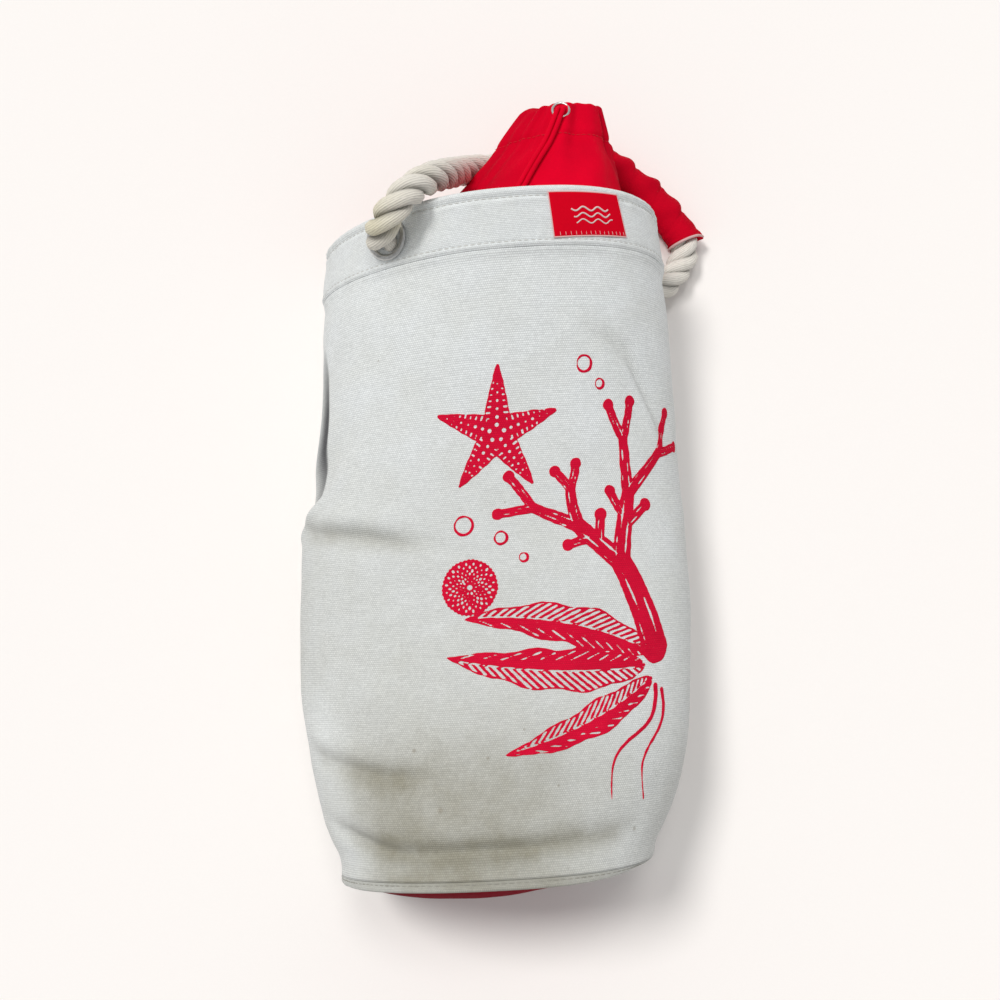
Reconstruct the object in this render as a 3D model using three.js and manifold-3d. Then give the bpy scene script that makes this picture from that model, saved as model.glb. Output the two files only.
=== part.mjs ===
// Insulated wine bottle tote, lying on its back with the mouth towards +Y.
// Millimetres, +Z up, the floor at Z = 0.
import * as THREE from 'three';
import { mergeVertices } from 'three/addons/utils/BufferGeometryUtils.js';
import Module from 'manifold-3d';

// Driving dimensions of the body
const BODY_LENGTH = 318;
const BODY_WIDTH = 201;
const BODY_HEIGHT = 134;
const WALL = 4.5;
const CLOTH = 1.2;
const GAP = 0.3;
const WIDEST_LEVEL = 0.47;
const FLOOR_PRESS = 3;
const BAND_LIFT_FROM = 0.8;
const BINDING_LIFT_TO = 0.06;
const RIM_SKEW = 0.085;
const BASE_SKEW = 0.049;
const LEAN_FROM = 0.6;
const RIM_BOW = 0.25;
const RIM_LEAN = 7;
const BASE_LEAN = 5;

// Driving dimensions of the band, the base and the label
const BAND_HEIGHT = 27;
const ROLL_DOWN = 0.3;
const ROLL_OUT = 0.4;
const BINDING_HEIGHT = 4.3;
const BINDING_DEPTH = 6;
const BINDING_PROUD = 1;
const PANEL_THICKNESS = BINDING_HEIGHT - GAP;
const PANEL_CROWN = 9;
const PANEL_FLATNESS = 4;
const LABEL_THICKNESS = 1;

// Driving dimensions of the collar and its cord
const COLLAR_DEPTH = 52;
const COLLAR_REACH = 68;
const NECK_WIDTH = 36.6;
const NECK_HEIGHT = 31;
const NECK_SIDEWAYS = 35;
const NECK_LEVEL = 60;
const CHANNEL_HEIGHT = 19;
const TUNNEL = 4.2;
const RUFFLE = 1.2;
const RUFFLE_COUNT = 5;
const RUFFLE_FREE = 30;
const EYELET_INNER_RADIUS = 3.45;
const EYELET_FLANGE = 1.45;
const EYELET_THICKNESS = 0.9;
const EYELET_FROM_MOUTH = 5.2;
const CORD_RADIUS = 1.35;
const CORD_KNOT_RADIUS = 3.2;

// Driving dimensions of the rope handle, its grommets and its sleeve
const ROPE_RADIUS = 7.7;
const GROMMET_INNER_RADIUS = 8.3;
const GROMMET_BARREL = 0.9;
const GROMMET_FLANGE = 3;
const GROMMET_THICKNESS = 1.3;
const GROMMET_FROM_RIM = 12.5;
const GROMMET_LEFT_ANGLE = 129;
const GROMMET_RIGHT_ANGLE = -39;
const WALL_SAG = 1.3;
const ROPE_KNOT_RADIUS = 12;
const ROPE_KNOT_LENGTH = 14;
const SLEEVE_RADIUS = 9.3;
const SLEEVE_CLOTH = 1;
const SLEEVE_GATHER = 0.4;
const SLEEVE_GATHERS = 5;

// How finely the forms are faceted
const BODY_SIDES = 34;
const RING_SIDES = 18;
const ROPE_SIDES = 10;
const ROPE_STEPS = 56;
const CORD_SIDES = 8;
const CORD_STEPS = 66;
const KNOT_SIDES = 12;

const DEGREE = Math.PI / 180;
const TURN = 2 * Math.PI;
const UP = new THREE.Vector3(0, 0, 1);

// Sections of the body from base to rim.
// along: share of BODY_LENGTH.  left, right: shares of half BODY_WIDTH.
// height: share of BODY_HEIGHT.  The corners are superellipse exponents.
const SECTION_COLUMNS = ['along', 'left', 'right', 'height', 'cornerLeft', 'cornerRight', 'cornerBelow'];
const SECTIONS = [
  [0.00, 0.762, 0.778, 1.000, 2.1, 2.3, 2.2],
  [0.02, 0.770, 0.800, 0.990, 2.1, 2.3, 2.2],
  [0.045, 0.780, 0.806, 0.975, 2.1, 2.3, 2.2],
  [0.065, 0.812, 0.840, 0.965, 2.1, 2.2, 2.3],
  [0.10, 0.858, 0.895, 0.945, 2.1, 2.1, 2.4],
  [0.17, 0.919, 0.965, 0.895, 2.2, 2.2, 2.7],
  [0.22, 0.947, 0.990, 0.860, 2.2, 2.2, 2.8],
  [0.30, 0.985, 1.000, 0.812, 2.2, 2.2, 3.0],
  [0.40, 0.997, 1.003, 0.775, 2.2, 2.2, 3.0],
  [0.50, 0.997, 0.987, 0.760, 2.2, 2.2, 3.0],
  [0.54, 0.988, 0.975, 0.762, 2.2, 2.2, 3.0],
  [0.58, 0.955, 0.958, 0.768, 2.2, 2.2, 3.0],
  [0.63, 0.918, 0.945, 0.780, 2.2, 2.2, 2.9],
  [0.70, 0.886, 0.925, 0.805, 2.1, 2.2, 2.8],
  [0.78, 0.880, 0.905, 0.845, 2.0, 2.3, 2.6],
  [0.86, 0.890, 0.883, 0.885, 1.9, 2.4, 2.4],
  [0.92, 0.872, 0.850, 0.920, 1.8, 2.5, 2.3],
  [1.00, 0.843, 0.798, 0.965, 1.8, 2.6, 2.2],
];

// Dents and creases of the body.
// along, reach: shares of BODY_LENGTH.  angle, spread: degrees round the body, 90 at the front.
// depth: share of BODY_HEIGHT.  slant: how far the crease climbs per degree, as a share of BODY_LENGTH.
const DENT_COLUMNS = ['along', 'angle', 'depth', 'reach', 'spread', 'slant'];
const DENTS = [
  [0.630, 165, 0.025, 0.030, 18, -0.0022],
  [0.520, 134, 0.018, 0.018, 30, 0.0007],
  [0.170, 131, 0.018, 0.018, 24, 0.0007],
  [0.050, 94, 0.028, 0.014, 40, 0],
  [0.070, 140, 0.024, 0.014, 20, 0.0013],
  [0.745, 42, 0.010, 0.025, 14, 0.0040],
  [0.400, 112, 0.008, 0.080, 16, 0.0015],
];

// The collar from its seam inside the wall to its mouth.
// along: share of the collar's length.  blend: 0 at the wall's section, 1 at the neck's.
const COLLAR_COLUMNS = ['along', 'blend'];
const COLLAR_ROWS = [
  [0.00, 0.00],
  [0.15, 0.24],
  [0.30, 0.32],
  [0.43, 0.41],
  [0.65, 0.64],
  [0.73, 0.735],
  [0.81, 0.83],
  [0.90, 0.91],
  [1.00, 1.00],
];

// Where the rings of the collar's single ply lie, as shares of its length.
const COLLAR_RINGS = [0, 0.08, 0.18, 0.3, 0.43, 0.56, 0.7];

// Folds that pull the collar in beside the rope's knots, as for DENTS but as shares of the collar.
const COLLAR_DENTS = [
  [0.27, -40, 0.157, 0.30, 36, 0],
  [0.64, 150, 0.020, 0.12, 22, 0],
];

const wasm = await Module();
wasm.setup();

function tableRow(columns, row) {
  return Object.fromEntries(columns.map((name, index) => [name, row[index]]));
}

// A smooth curve through the rows of a table, one value for each column.
function tableAt(columns, rows, share) {
  const last = rows.length - 1;
  const at = THREE.MathUtils.clamp(share, rows[0][0], rows[last][0]);
  const index = Math.min(rows.findLastIndex((row) => row[0] <= at), last - 1);
  const [before, low, high, after] = [-1, 0, 1, 2].map(
    (step) => rows[THREE.MathUtils.clamp(index + step, 0, last)]);
  const span = high[0] - low[0];
  const t = (at - low[0]) / span;
  const values = low.map((value, column) => {
    const slopeLow = (high[column] - before[column]) / (high[0] - before[0]);
    const slopeHigh = (after[column] - low[column]) / (after[0] - low[0]);
    const cube = 2 * (value - high[column]) + span * (slopeLow + slopeHigh);
    const square = 3 * (high[column] - value) - span * (2 * slopeLow + slopeHigh);
    return ((cube * t + square) * t + span * slopeLow) * t + value;
  });
  return tableRow(columns, values);
}

function bell(distance, reach) {
  return Math.exp(-((distance / reach) ** 2));
}

function turnBetween(angle, other) {
  return Math.abs(THREE.MathUtils.euclideanModulo(angle - other + 180, 360) - 180);
}

// How deep the dents of a table push the surface in, as a share of the height that they follow.
function dentDepth(dents, share, angle) {
  const degrees = angle / DEGREE;
  let depth = 0;
  for (const row of dents) {
    const dent = tableRow(DENT_COLUMNS, row);
    const away = turnBetween(degrees, dent.angle);
    const side = Math.sign(Math.sin((degrees - dent.angle) * DEGREE));
    const along = dent.along + dent.slant * away * side;
    depth += dent.depth * bell(share - along, dent.reach) * bell(away, dent.spread);
  }
  return depth;
}

function power(value, exponent) {
  return Math.sign(value) * Math.abs(value) ** exponent;
}

// How far the surface is held above the floor, so that what is sewn on outside it rests there too.
function bodyLift(share) {
  const band = THREE.MathUtils.smoothstep(share, BAND_LIFT_FROM, 1 - BAND_HEIGHT / BODY_LENGTH);
  const binding = 1 - THREE.MathUtils.smoothstep(share, BINDING_HEIGHT / BODY_LENGTH, BINDING_LIFT_TO);
  return Math.max(band * (GAP + CLOTH), binding * BINDING_PROUD);
}

function bodyLean(share, lead) {
  const rim = RIM_LEAN * THREE.MathUtils.smoothstep(share, LEAN_FROM, 1);
  const base = BASE_LEAN * (1 - THREE.MathUtils.smoothstep(share, 0, 1 - LEAN_FROM));
  return rim * lead * (1 - RIM_BOW + RIM_BOW * lead) + base * (lead - 1);
}

// The section's outline at an angle, 0 at +X and 90 degrees on top, pressed flat where it meets the floor.
function bodyOutline(share, angle) {
  const row = tableAt(SECTION_COLUMNS, SECTIONS, share);
  const c = Math.cos(angle);
  const s = Math.sin(angle);
  const cornerAbove = c < 0 ? row.cornerLeft : row.cornerRight;
  const exponent = 2 / (s < 0 ? row.cornerBelow : cornerAbove);
  const height = row.height * BODY_HEIGHT;
  const level = WIDEST_LEVEL * height;
  const halfWidth = (c < 0 ? row.left : row.right) * BODY_WIDTH / 2;
  const halfHeight = s < 0 ? level + FLOOR_PRESS : height - level;
  const lead = power(s, exponent);
  const x = halfWidth * power(c, exponent);
  const z = halfHeight * lead;
  const keep = 1 - dentDepth(DENTS, share, angle) * BODY_HEIGHT / Math.hypot(x, z);
  return { x: x * keep, z: Math.max(level + z * keep, bodyLift(share)), lead };
}

// A point of the body's outer face, moved outwards by offset.
function bodyPoint(share, angle, offset = 0) {
  const step = 0.01;
  const before = bodyOutline(share, angle - step);
  const after = bodyOutline(share, angle + step);
  const here = bodyOutline(share, angle);
  const outwards = new THREE.Vector2(after.z - before.z, before.x - after.x).normalize();
  const x = here.x + offset * outwards.x;
  const z = here.z + offset * outwards.y;
  const skew = THREE.MathUtils.lerp(BASE_SKEW, RIM_SKEW, share);
  return new THREE.Vector3(x, share * BODY_LENGTH + skew * x + bodyLean(share, here.lead), z);
}

// The band's foot, its middle and the body's own end under the band's roll, as shares of BODY_LENGTH.
const BAND_FOOT = 1 - BAND_HEIGHT / BODY_LENGTH;
const RIM_SHARE = 1 - (GAP + CLOTH) / BODY_LENGTH;
const BAND_SHARES = [BAND_FOOT, (BAND_FOOT + RIM_SHARE) / 2, RIM_SHARE];
// Where the body's other rings lie, closest together at its creases.
const BODY_ROWS = [
  0.035, 0.05, 0.068, 0.1, 0.15, 0.17, 0.2, 0.31, 0.43, 0.5, 0.53, 0.57, 0.62, 0.69, 0.75, 0.8, 0.85,
];
// Where the rings of the base panel lie, as shares of its radius.
const PANEL_RINGS = [0, 0.5, 0.8, 1];
const COLLAR_SEAM_SHARE = 1 - COLLAR_DEPTH / BODY_LENGTH;
const COLLAR_LENGTH = COLLAR_DEPTH + COLLAR_REACH;

function neckPoint(angle, offset) {
  const ruffle = RUFFLE * Math.sin(RUFFLE_COUNT * angle) * (1 - bell(turnBetween(angle / DEGREE, 90), RUFFLE_FREE));
  const x = NECK_SIDEWAYS + (NECK_WIDTH / 2 + offset + ruffle) * Math.cos(angle);
  const z = NECK_LEVEL + (NECK_HEIGHT / 2 + offset + ruffle) * Math.sin(angle);
  return new THREE.Vector3(x, BODY_LENGTH + COLLAR_REACH + RIM_SKEW * (x - NECK_SIDEWAYS), z);
}

// A point of the collar's outer face, from its seam (along 0) to its mouth (along 1).
function collarPoint(along, angle, offset = 0) {
  const wall = bodyPoint(COLLAR_SEAM_SHARE, angle, offset - WALL - GAP);
  const neck = neckPoint(angle, offset);
  const { blend } = tableAt(COLLAR_COLUMNS, COLLAR_ROWS, along);
  const point = wall.clone().lerp(neck, blend);
  point.y = wall.y + (neck.y - wall.y) * along;
  const centre = new THREE.Vector3(NECK_SIDEWAYS * blend, point.y, NECK_LEVEL);
  const free = THREE.MathUtils.smoothstep(along, 0, 0.14);
  const depth = free * dentDepth(COLLAR_DENTS, along, angle) * BODY_HEIGHT;
  return point.lerp(centre, depth / point.distanceTo(centre));
}

function collarShare(fromMouth) {
  return 1 - fromMouth / COLLAR_LENGTH;
}

// A direction pair on a surface: the point, its outward normal, the way round and the way along.
function seatOn(surface, share, angle, offset) {
  const step = 0.002;
  const point = surface(share, angle, offset);
  const round = surface(share, angle + step, offset).sub(surface(share, angle - step, offset)).normalize();
  const along = surface(share + step, angle, offset).sub(surface(share - step, angle, offset)).normalize();
  const normal = along.clone().cross(round).normalize();
  return { point, normal, round, along };
}

function solidFrom(positions, faces) {
  let geometry = new THREE.BufferGeometry();
  geometry.setAttribute('position', new THREE.Float32BufferAttribute(positions.flatMap((p) => [p.x, p.y, p.z]), 3));
  geometry.setIndex(faces.flat());
  geometry = mergeVertices(geometry, 1e-4);
  if (signedVolume(geometry) < 0) {
    geometry.setIndex(Array.from(geometry.index.array).reverse());
  }
  return geometry;
}

function signedVolume(geometry) {
  const position = geometry.attributes.position;
  const corners = Array.from(geometry.index.array, (i) => new THREE.Vector3().fromBufferAttribute(position, i));
  let volume = 0;
  for (let i = 0; i < corners.length; i += 3) {
    volume += corners[i].dot(corners[i + 1].clone().cross(corners[i + 2])) / 6;
  }
  return volume;
}

// A ring-shaped solid: a closed profile carried round by a point function.
function ringSolid(profile, sides, pointAt) {
  const positions = [];
  const faces = [];
  const count = profile.length;
  for (let side = 0; side < sides; side += 1) {
    const next = (side + 1) % sides;
    profile.forEach((entry, row) => {
      positions.push(pointAt(entry, side * TURN / sides));
      const up = (row + 1) % count;
      const [a, b, c, d] = [side * count + row, next * count + row, next * count + up, side * count + up];
      faces.push([a, b, c], [a, c, d]);
    });
  }
  return solidFrom(positions, faces);
}

// A closed solid from a pole over a row of rings to another pole.
function domeSolid(profile, sides, pointAt) {
  const positions = [];
  const faces = [];
  const last = profile.length - 1;
  profile.forEach((entry, row) => {
    for (let side = 0; side < sides; side += 1) {
      positions.push(pointAt(entry, side * TURN / sides));
      const next = (side + 1) % sides;
      const [a, b] = [row * sides + side, row * sides + next];
      if (row < last) {
        faces.push([a, b, b + sides], [a, b + sides, a + sides]);
      }
    }
  });
  const isPole = (row) => row === 0 || row === last;
  const kept = faces.filter((face) => new Set(face.map((i) => {
    const row = Math.floor(i / sides);
    return isPole(row) ? `pole${row}` : i;
  })).size === 3);
  return solidFrom(positions, kept);
}

// A sheet over a grid of the surface, with a given thickness.
function patchSolid(columns, rows, pointAt) {
  const positions = [];
  const faces = [];
  const wide = columns + 1;
  const layer = wide * (rows + 1);
  for (const face of [0, 1]) {
    for (let row = 0; row <= rows; row += 1) {
      for (let column = 0; column <= columns; column += 1) {
        positions.push(pointAt(column / columns, row / rows, face));
      }
    }
  }
  const quad = (a, b, c, d) => faces.push([a, b, c], [a, c, d]);
  for (let row = 0; row < rows; row += 1) {
    for (let column = 0; column < columns; column += 1) {
      const a = row * wide + column;
      quad(a + layer, a + 1 + layer, a + wide + 1 + layer, a + wide + layer);
      quad(a, a + wide, a + wide + 1, a + 1);
    }
  }
  for (let column = 0; column < columns; column += 1) {
    const top = rows * wide + column;
    quad(column, column + 1, column + 1 + layer, column + layer);
    quad(top + 1, top, top + layer, top + 1 + layer);
  }
  for (let row = 0; row < rows; row += 1) {
    const left = row * wide;
    const right = left + columns;
    quad(left + wide, left, left + layer, left + wide + layer);
    quad(right, right + wide, right + wide + layer, right + layer);
  }
  return solidFrom(positions, faces);
}

function toManifold(geometry) {
  return new wasm.Manifold(new wasm.Mesh({
    numProp: 3,
    vertProperties: new Float32Array(geometry.attributes.position.array),
    triVerts: new Uint32Array(geometry.index.array),
  }));
}

function fromManifold(solid) {
  const mesh = solid.getMesh();
  const geometry = new THREE.BufferGeometry();
  geometry.setAttribute('position', new THREE.BufferAttribute(mesh.vertProperties, 3));
  geometry.setIndex(Array.from(mesh.triVerts));
  return geometry;
}

function cleaned(geometry) {
  const bare = geometry.index ? geometry.toNonIndexed() : geometry.clone();
  bare.deleteAttribute('normal');
  bare.deleteAttribute('uv');
  return mergeVertices(bare, 1e-4);
}

// Puts a solid made round +Y at a seat, with +Y along the seat's normal.
function placedOn(seat, geometry) {
  const side = seat.round.clone().cross(seat.normal);
  const basis = new THREE.Matrix4().makeBasis(seat.round, seat.normal, side).setPosition(seat.point);
  return geometry.applyMatrix4(basis);
}

function lathed(profile, sides) {
  const points = profile.map(([radius, height]) => new THREE.Vector2(radius, height));
  const geometry = cleaned(new THREE.LatheGeometry(points, sides));
  if (signedVolume(geometry) < 0) {
    geometry.setIndex(Array.from(geometry.index.array).reverse());
  }
  return geometry;
}

function tubeAlong(points, radius, sides, steps) {
  const curve = new THREE.CatmullRomCurve3(points, false, 'centripetal');
  const section = new THREE.Shape(Array.from({ length: sides }, (_, side) => new THREE.Vector2(
    radius * Math.cos(side * TURN / sides), radius * Math.sin(side * TURN / sides))));
  return cleaned(new THREE.ExtrudeGeometry(section, { steps, extrudePath: curve, bevelEnabled: false }));
}

// The seats of the two grommets, on the band's outer face.
const GROMMET_SHARE = 1 - GROMMET_FROM_RIM / BODY_LENGTH;
const BAND_FACE = GAP + CLOTH;
const STACK = WALL + 2 * BAND_FACE;

function grommetSeat(degrees) {
  return seatOn(bodyPoint, GROMMET_SHARE, degrees * DEGREE, BAND_FACE);
}

function grommetHole(seat) {
  const radius = GROMMET_INNER_RADIUS + GROMMET_BARREL + GAP;
  const drill = new THREE.CylinderGeometry(radius, radius, 4 * STACK, RING_SIDES);
  return toManifold(placedOn(seat, cleaned(drill)));
}

function withGrommetHoles(geometry) {
  const seats = [GROMMET_LEFT_ANGLE, GROMMET_RIGHT_ANGLE].map(grommetSeat);
  return fromManifold(seats.reduce((solid, seat) => solid.subtract(grommetHole(seat)), toManifold(geometry)));
}

function bodyShell() {
  const start = (BINDING_HEIGHT + GAP) / BODY_LENGTH;
  const shares = [start, ...BODY_ROWS, ...BAND_SHARES];
  const outer = shares.map((share) => [share, 0]);
  const inner = shares.toReversed().map((share) => [share, -WALL]);
  const shell = ringSolid([...outer, ...inner], BODY_SIDES, ([share, offset], angle) =>
    bodyPoint(share, angle, offset));
  return withGrommetHoles(shell);
}

// The band is a strip of canvas folded over the rim, with a skirt outside and one inside.
function rimBand() {
  const [foot, middle, top] = BAND_SHARES;
  const over = top + GAP / BODY_LENGTH;
  const inside = -WALL - GAP;
  const shoulder = 1 - ROLL_DOWN * CLOTH / BODY_LENGTH;
  const profile = [
    [foot, BAND_FACE], [middle, BAND_FACE], [top, BAND_FACE], [shoulder, ROLL_OUT * CLOTH],
    [1, -WALL / 2], [shoulder, -WALL - ROLL_OUT * CLOTH],
    [top, inside - CLOTH], [middle, inside - CLOTH], [foot, inside - CLOTH],
    [foot, inside], [middle, inside], [over, inside],
    [over, GAP], [middle, GAP], [foot, GAP],
  ];
  const band = ringSolid(profile, BODY_SIDES, ([share, offset], angle) => bodyPoint(share, angle, offset));
  return withGrommetHoles(band);
}

function baseBinding() {
  const foot = BINDING_HEIGHT / BODY_LENGTH;
  const round = BINDING_PROUD / BODY_LENGTH;
  const profile = [
    [round, BINDING_PROUD], [foot - round, BINDING_PROUD], [foot, 0],
    [foot, -BINDING_DEPTH], [0, -BINDING_DEPTH], [0, 0],
  ];
  return ringSolid(profile, BODY_SIDES, ([share, offset], angle) => bodyPoint(share, angle, offset));
}

// The base panel is a padded disc inside the binding, crowned outwards.
function basePanel() {
  const rim = -BINDING_DEPTH - GAP;
  const pointAt = ([reach, face], angle) => {
    const share = face * PANEL_THICKNESS / BODY_LENGTH;
    const edge = bodyPoint(share, angle, rim);
    const centre = bodyPoint(share, Math.PI / 2, rim).add(bodyPoint(share, -Math.PI / 2, rim)).multiplyScalar(0.5);
    const point = centre.lerp(edge, reach);
    point.y -= PANEL_CROWN * (1 - reach ** PANEL_FLATNESS);
    return point;
  };
  const outside = PANEL_RINGS.map((reach) => [reach, 0]);
  const inside = PANEL_RINGS.toReversed().map((reach) => [reach, 1]);
  return domeSolid([...outside, ...inside], BODY_SIDES, pointAt);
}

// The collar's profile: one ply from the seam to the mouth, folded inwards round the cord's tunnel.
function collarShape() {
  const seam = collarShare(CHANNEL_HEIGHT);
  const inner = -2 * CLOTH - TUNNEL;
  const near = (share) => seam + (1 - seam) * share;
  const profile = [
    ...COLLAR_RINGS.map((along) => [along, 0]),
    [seam, 0], [near(0.3), 0], [near(0.6), 0], [near(0.88), 0],
    [1, 0.25 * inner], [1, 0.75 * inner],
    [near(0.85), inner], [near(0.45), inner], [near(0.2), 0.7 * inner], [near(0.02), -2 * CLOTH - GAP],
    [near(0.02), -CLOTH - GAP], [near(0.2), 0.7 * inner + CLOTH], [near(0.45), inner + CLOTH],
    [near(0.82), inner + CLOTH], [near(0.93), inner / 2], [near(0.82), -CLOTH],
    [near(0.45), -CLOTH], [seam, -CLOTH],
    ...COLLAR_RINGS.toReversed().map((along) => [along, -CLOTH]),
  ];
  return ringSolid(profile, BODY_SIDES, ([along, offset], angle) => collarPoint(along, angle, offset));
}

const EYELET_SHARE = collarShare(EYELET_FROM_MOUTH);

function eyeletSeat() {
  return seatOn(collarPoint, EYELET_SHARE, Math.PI / 2, 0);
}

function collar() {
  const radius = EYELET_INNER_RADIUS + EYELET_THICKNESS / 2 + GAP;
  const drill = new THREE.CylinderGeometry(radius, radius, 2 * CLOTH + TUNNEL, RING_SIDES);
  return fromManifold(toManifold(collarShape()).subtract(toManifold(placedOn(eyeletSeat(), cleaned(drill)))));
}

function collarEyelet() {
  const barrel = EYELET_INNER_RADIUS + EYELET_THICKNESS / 2;
  const flange = EYELET_INNER_RADIUS + EYELET_FLANGE;
  const low = -CLOTH - 2 * GAP;
  const profile = [
    [EYELET_INNER_RADIUS, low], [barrel, low], [barrel, GAP], [flange, GAP],
    [flange - 0.2, GAP + 0.6 * EYELET_THICKNESS], [(barrel + flange) / 2, GAP + EYELET_THICKNESS],
    [EYELET_INNER_RADIUS, GAP + 0.4 * EYELET_THICKNESS], [EYELET_INNER_RADIUS, low],
  ];
  return placedOn(eyeletSeat(), lathed(profile, RING_SIDES));
}

// One strand of the drawcord from the tunnel out of the eyelet and down the collar, side is 1 or -1.
function strandPoints(side) {
  const spread = CORD_RADIUS + GAP / 2;
  const over = GAP + EYELET_THICKNESS + GAP + CORD_RADIUS;
  const rest = GAP + CORD_RADIUS;
  const rows = [
    [0, 3.4, -CLOTH - TUNNEL / 2],
    [0, 1.5, -CLOTH - TUNNEL / 2 + 0.1],
    [0, 1, -CLOTH],
    [0, 1, over * 0.6],
    [2.6, 1, over + 0.5],
    [7, 1, over],
    [13, 1, rest + 0.6],
    [20, 1, rest],
    [30, 1, rest],
    [42, 1, rest],
    [52, 1.2, rest],
    [60, 2.2, rest + 0.4],
    [66, 2.9, rest + 1.4],
  ];
  return rows.map(([down, wide, offset]) => {
    const seat = seatOn(collarPoint, EYELET_SHARE - down / COLLAR_LENGTH, Math.PI / 2, 0);
    return seat.point.addScaledVector(seat.normal, offset).addScaledVector(seat.round, side * wide * spread);
  });
}

function tunnelPoints() {
  const clear = 34 * DEGREE;
  const steps = 24;
  return Array.from({ length: steps + 1 }, (_, step) => {
    const angle = Math.PI / 2 + clear + (TURN - 2 * clear) * step / steps;
    return collarPoint(EYELET_SHARE, angle, -CLOTH - TUNNEL / 2);
  });
}

function drawcordPoints() {
  return [...strandPoints(1).toReversed(), ...tunnelPoints(), ...strandPoints(-1)];
}

function drawcord() {
  return tubeAlong(drawcordPoints(), CORD_RADIUS, CORD_SIDES, CORD_STEPS);
}

function knotAt(end, before, radius, length, sides) {
  const way = end.clone().sub(before).normalize();
  const centre = end.clone().addScaledVector(way, GAP + length / 2);
  const turn = new THREE.Quaternion().setFromUnitVectors(new THREE.Vector3(0, 1, 0), way);
  const profile = [[0, -0.5], [0.72, -0.5], [1, -0.2], [1, 0.2], [0.72, 0.5], [0, 0.5]];
  const geometry = lathed(profile.map(([r, h]) => [r * radius, h * length]), sides);
  return geometry.applyQuaternion(turn).translate(centre.x, centre.y, centre.z);
}

function drawcordKnot(side) {
  const points = side > 0 ? drawcordPoints() : drawcordPoints().toReversed();
  return knotAt(points[0], points[1], CORD_KNOT_RADIUS, 2 * CORD_KNOT_RADIUS, KNOT_SIDES);
}

// The label's corners on the band: degrees round the body and millimetres below the rim.
const LABEL_TOP_LEFT = { angle: 76.3, below: 3.5 };
const LABEL_TOP_RIGHT = { angle: 50, below: 3.1 };
const LABEL_BOTTOM_LEFT = { angle: 75, below: 23.8 };
const LABEL_BOTTOM_RIGHT = { angle: 49.5, below: 22.2 };

function label() {
  const mix = THREE.MathUtils.lerp;
  return patchSolid(7, 4, (across, down, face) => {
    const angle = mix(mix(LABEL_TOP_LEFT.angle, LABEL_TOP_RIGHT.angle, across),
      mix(LABEL_BOTTOM_LEFT.angle, LABEL_BOTTOM_RIGHT.angle, across), down);
    const below = mix(mix(LABEL_TOP_LEFT.below, LABEL_TOP_RIGHT.below, across),
      mix(LABEL_BOTTOM_LEFT.below, LABEL_BOTTOM_RIGHT.below, across), down);
    return bodyPoint(1 - below / BODY_LENGTH, angle * DEGREE, BAND_FACE + GAP + face * LABEL_THICKNESS);
  });
}

// Heights along a grommet's axis are measured from the band's outer face.
const GROMMET_INSIDE = -STACK - GAP - WALL_SAG;

function grommet(degrees) {
  const inner = GROMMET_INNER_RADIUS;
  const barrel = inner + GROMMET_BARREL;
  const flange = inner + GROMMET_FLANGE;
  const crown = (inner + flange) / 2;
  const thick = GROMMET_THICKNESS;
  const profile = [
    [inner, GROMMET_INSIDE - 0.4 * thick], [crown, GROMMET_INSIDE - thick], [flange, GROMMET_INSIDE - 0.3 * thick],
    [flange, GROMMET_INSIDE], [barrel, GROMMET_INSIDE], [barrel, GAP], [flange, GAP],
    [flange, GAP + 0.3 * thick], [crown, GAP + thick], [inner, GAP + 0.4 * thick],
    [inner, GROMMET_INSIDE - 0.4 * thick],
  ];
  return placedOn(grommetSeat(degrees), lathed(profile, RING_SIDES));
}

// The rope's route between its grommets, points chosen by hand along the way that it lies.
const ROPE_ROUTE = [
  [-53, 306.5, 127], [-49.5, 310.5, 134.5], [-44.2, 316.3, 137.5], [-38.6, 323.3, 133.5], [-32.2, 331.5, 121],
  [-25.5, 340.7, 99], [-19.8, 351, 70], [-11, 361.2, 42], [-1.2, 366.7, 26], [9.2, 371, 17],
  [22, 376, 12], [36, 379.5, 10], [52.7, 378.3, 10], [64.9, 370.9, 10], [75.9, 362.4, 10],
  [85.9, 353.9, 10], [93.6, 345.4, 10], [100.1, 336.9, 10], [104.5, 329.6, 10], [104.4, 322.3, 10],
  [99.8, 313.1, 11], [92.9, 305.4, 12], [84.5, 303.5, 11], [77.5, 306.5, 10.4],
];
const SLEEVE_FIRST = 9;
const SLEEVE_LAST = 18;

const ROPE_END = GROMMET_INSIDE - GROMMET_THICKNESS - GAP;

function ropePoints() {
  const onSeat = (seat, height) => seat.point.clone().addScaledVector(seat.normal, height);
  const [left, right] = [GROMMET_LEFT_ANGLE, GROMMET_RIGHT_ANGLE].map(grommetSeat);
  const route = ROPE_ROUTE.map(([x, y, z]) => new THREE.Vector3(x, y, z));
  const out = [ROPE_END, ROPE_END / 2, 0, 2 * GROMMET_THICKNESS, 4.5 * GROMMET_THICKNESS];
  return [...out.map((height) => onSeat(left, height)), ...route,
    ...out.toReversed().map((height) => onSeat(right, height))];
}

function ropeHandle() {
  return tubeAlong(ropePoints(), ROPE_RADIUS, ROPE_SIDES, ROPE_STEPS);
}

function ropeKnot(degrees) {
  const seat = grommetSeat(degrees);
  const end = seat.point.clone().addScaledVector(seat.normal, ROPE_END);
  return knotAt(end, seat.point, ROPE_KNOT_RADIUS, ROPE_KNOT_LENGTH, KNOT_SIDES);
}

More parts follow.
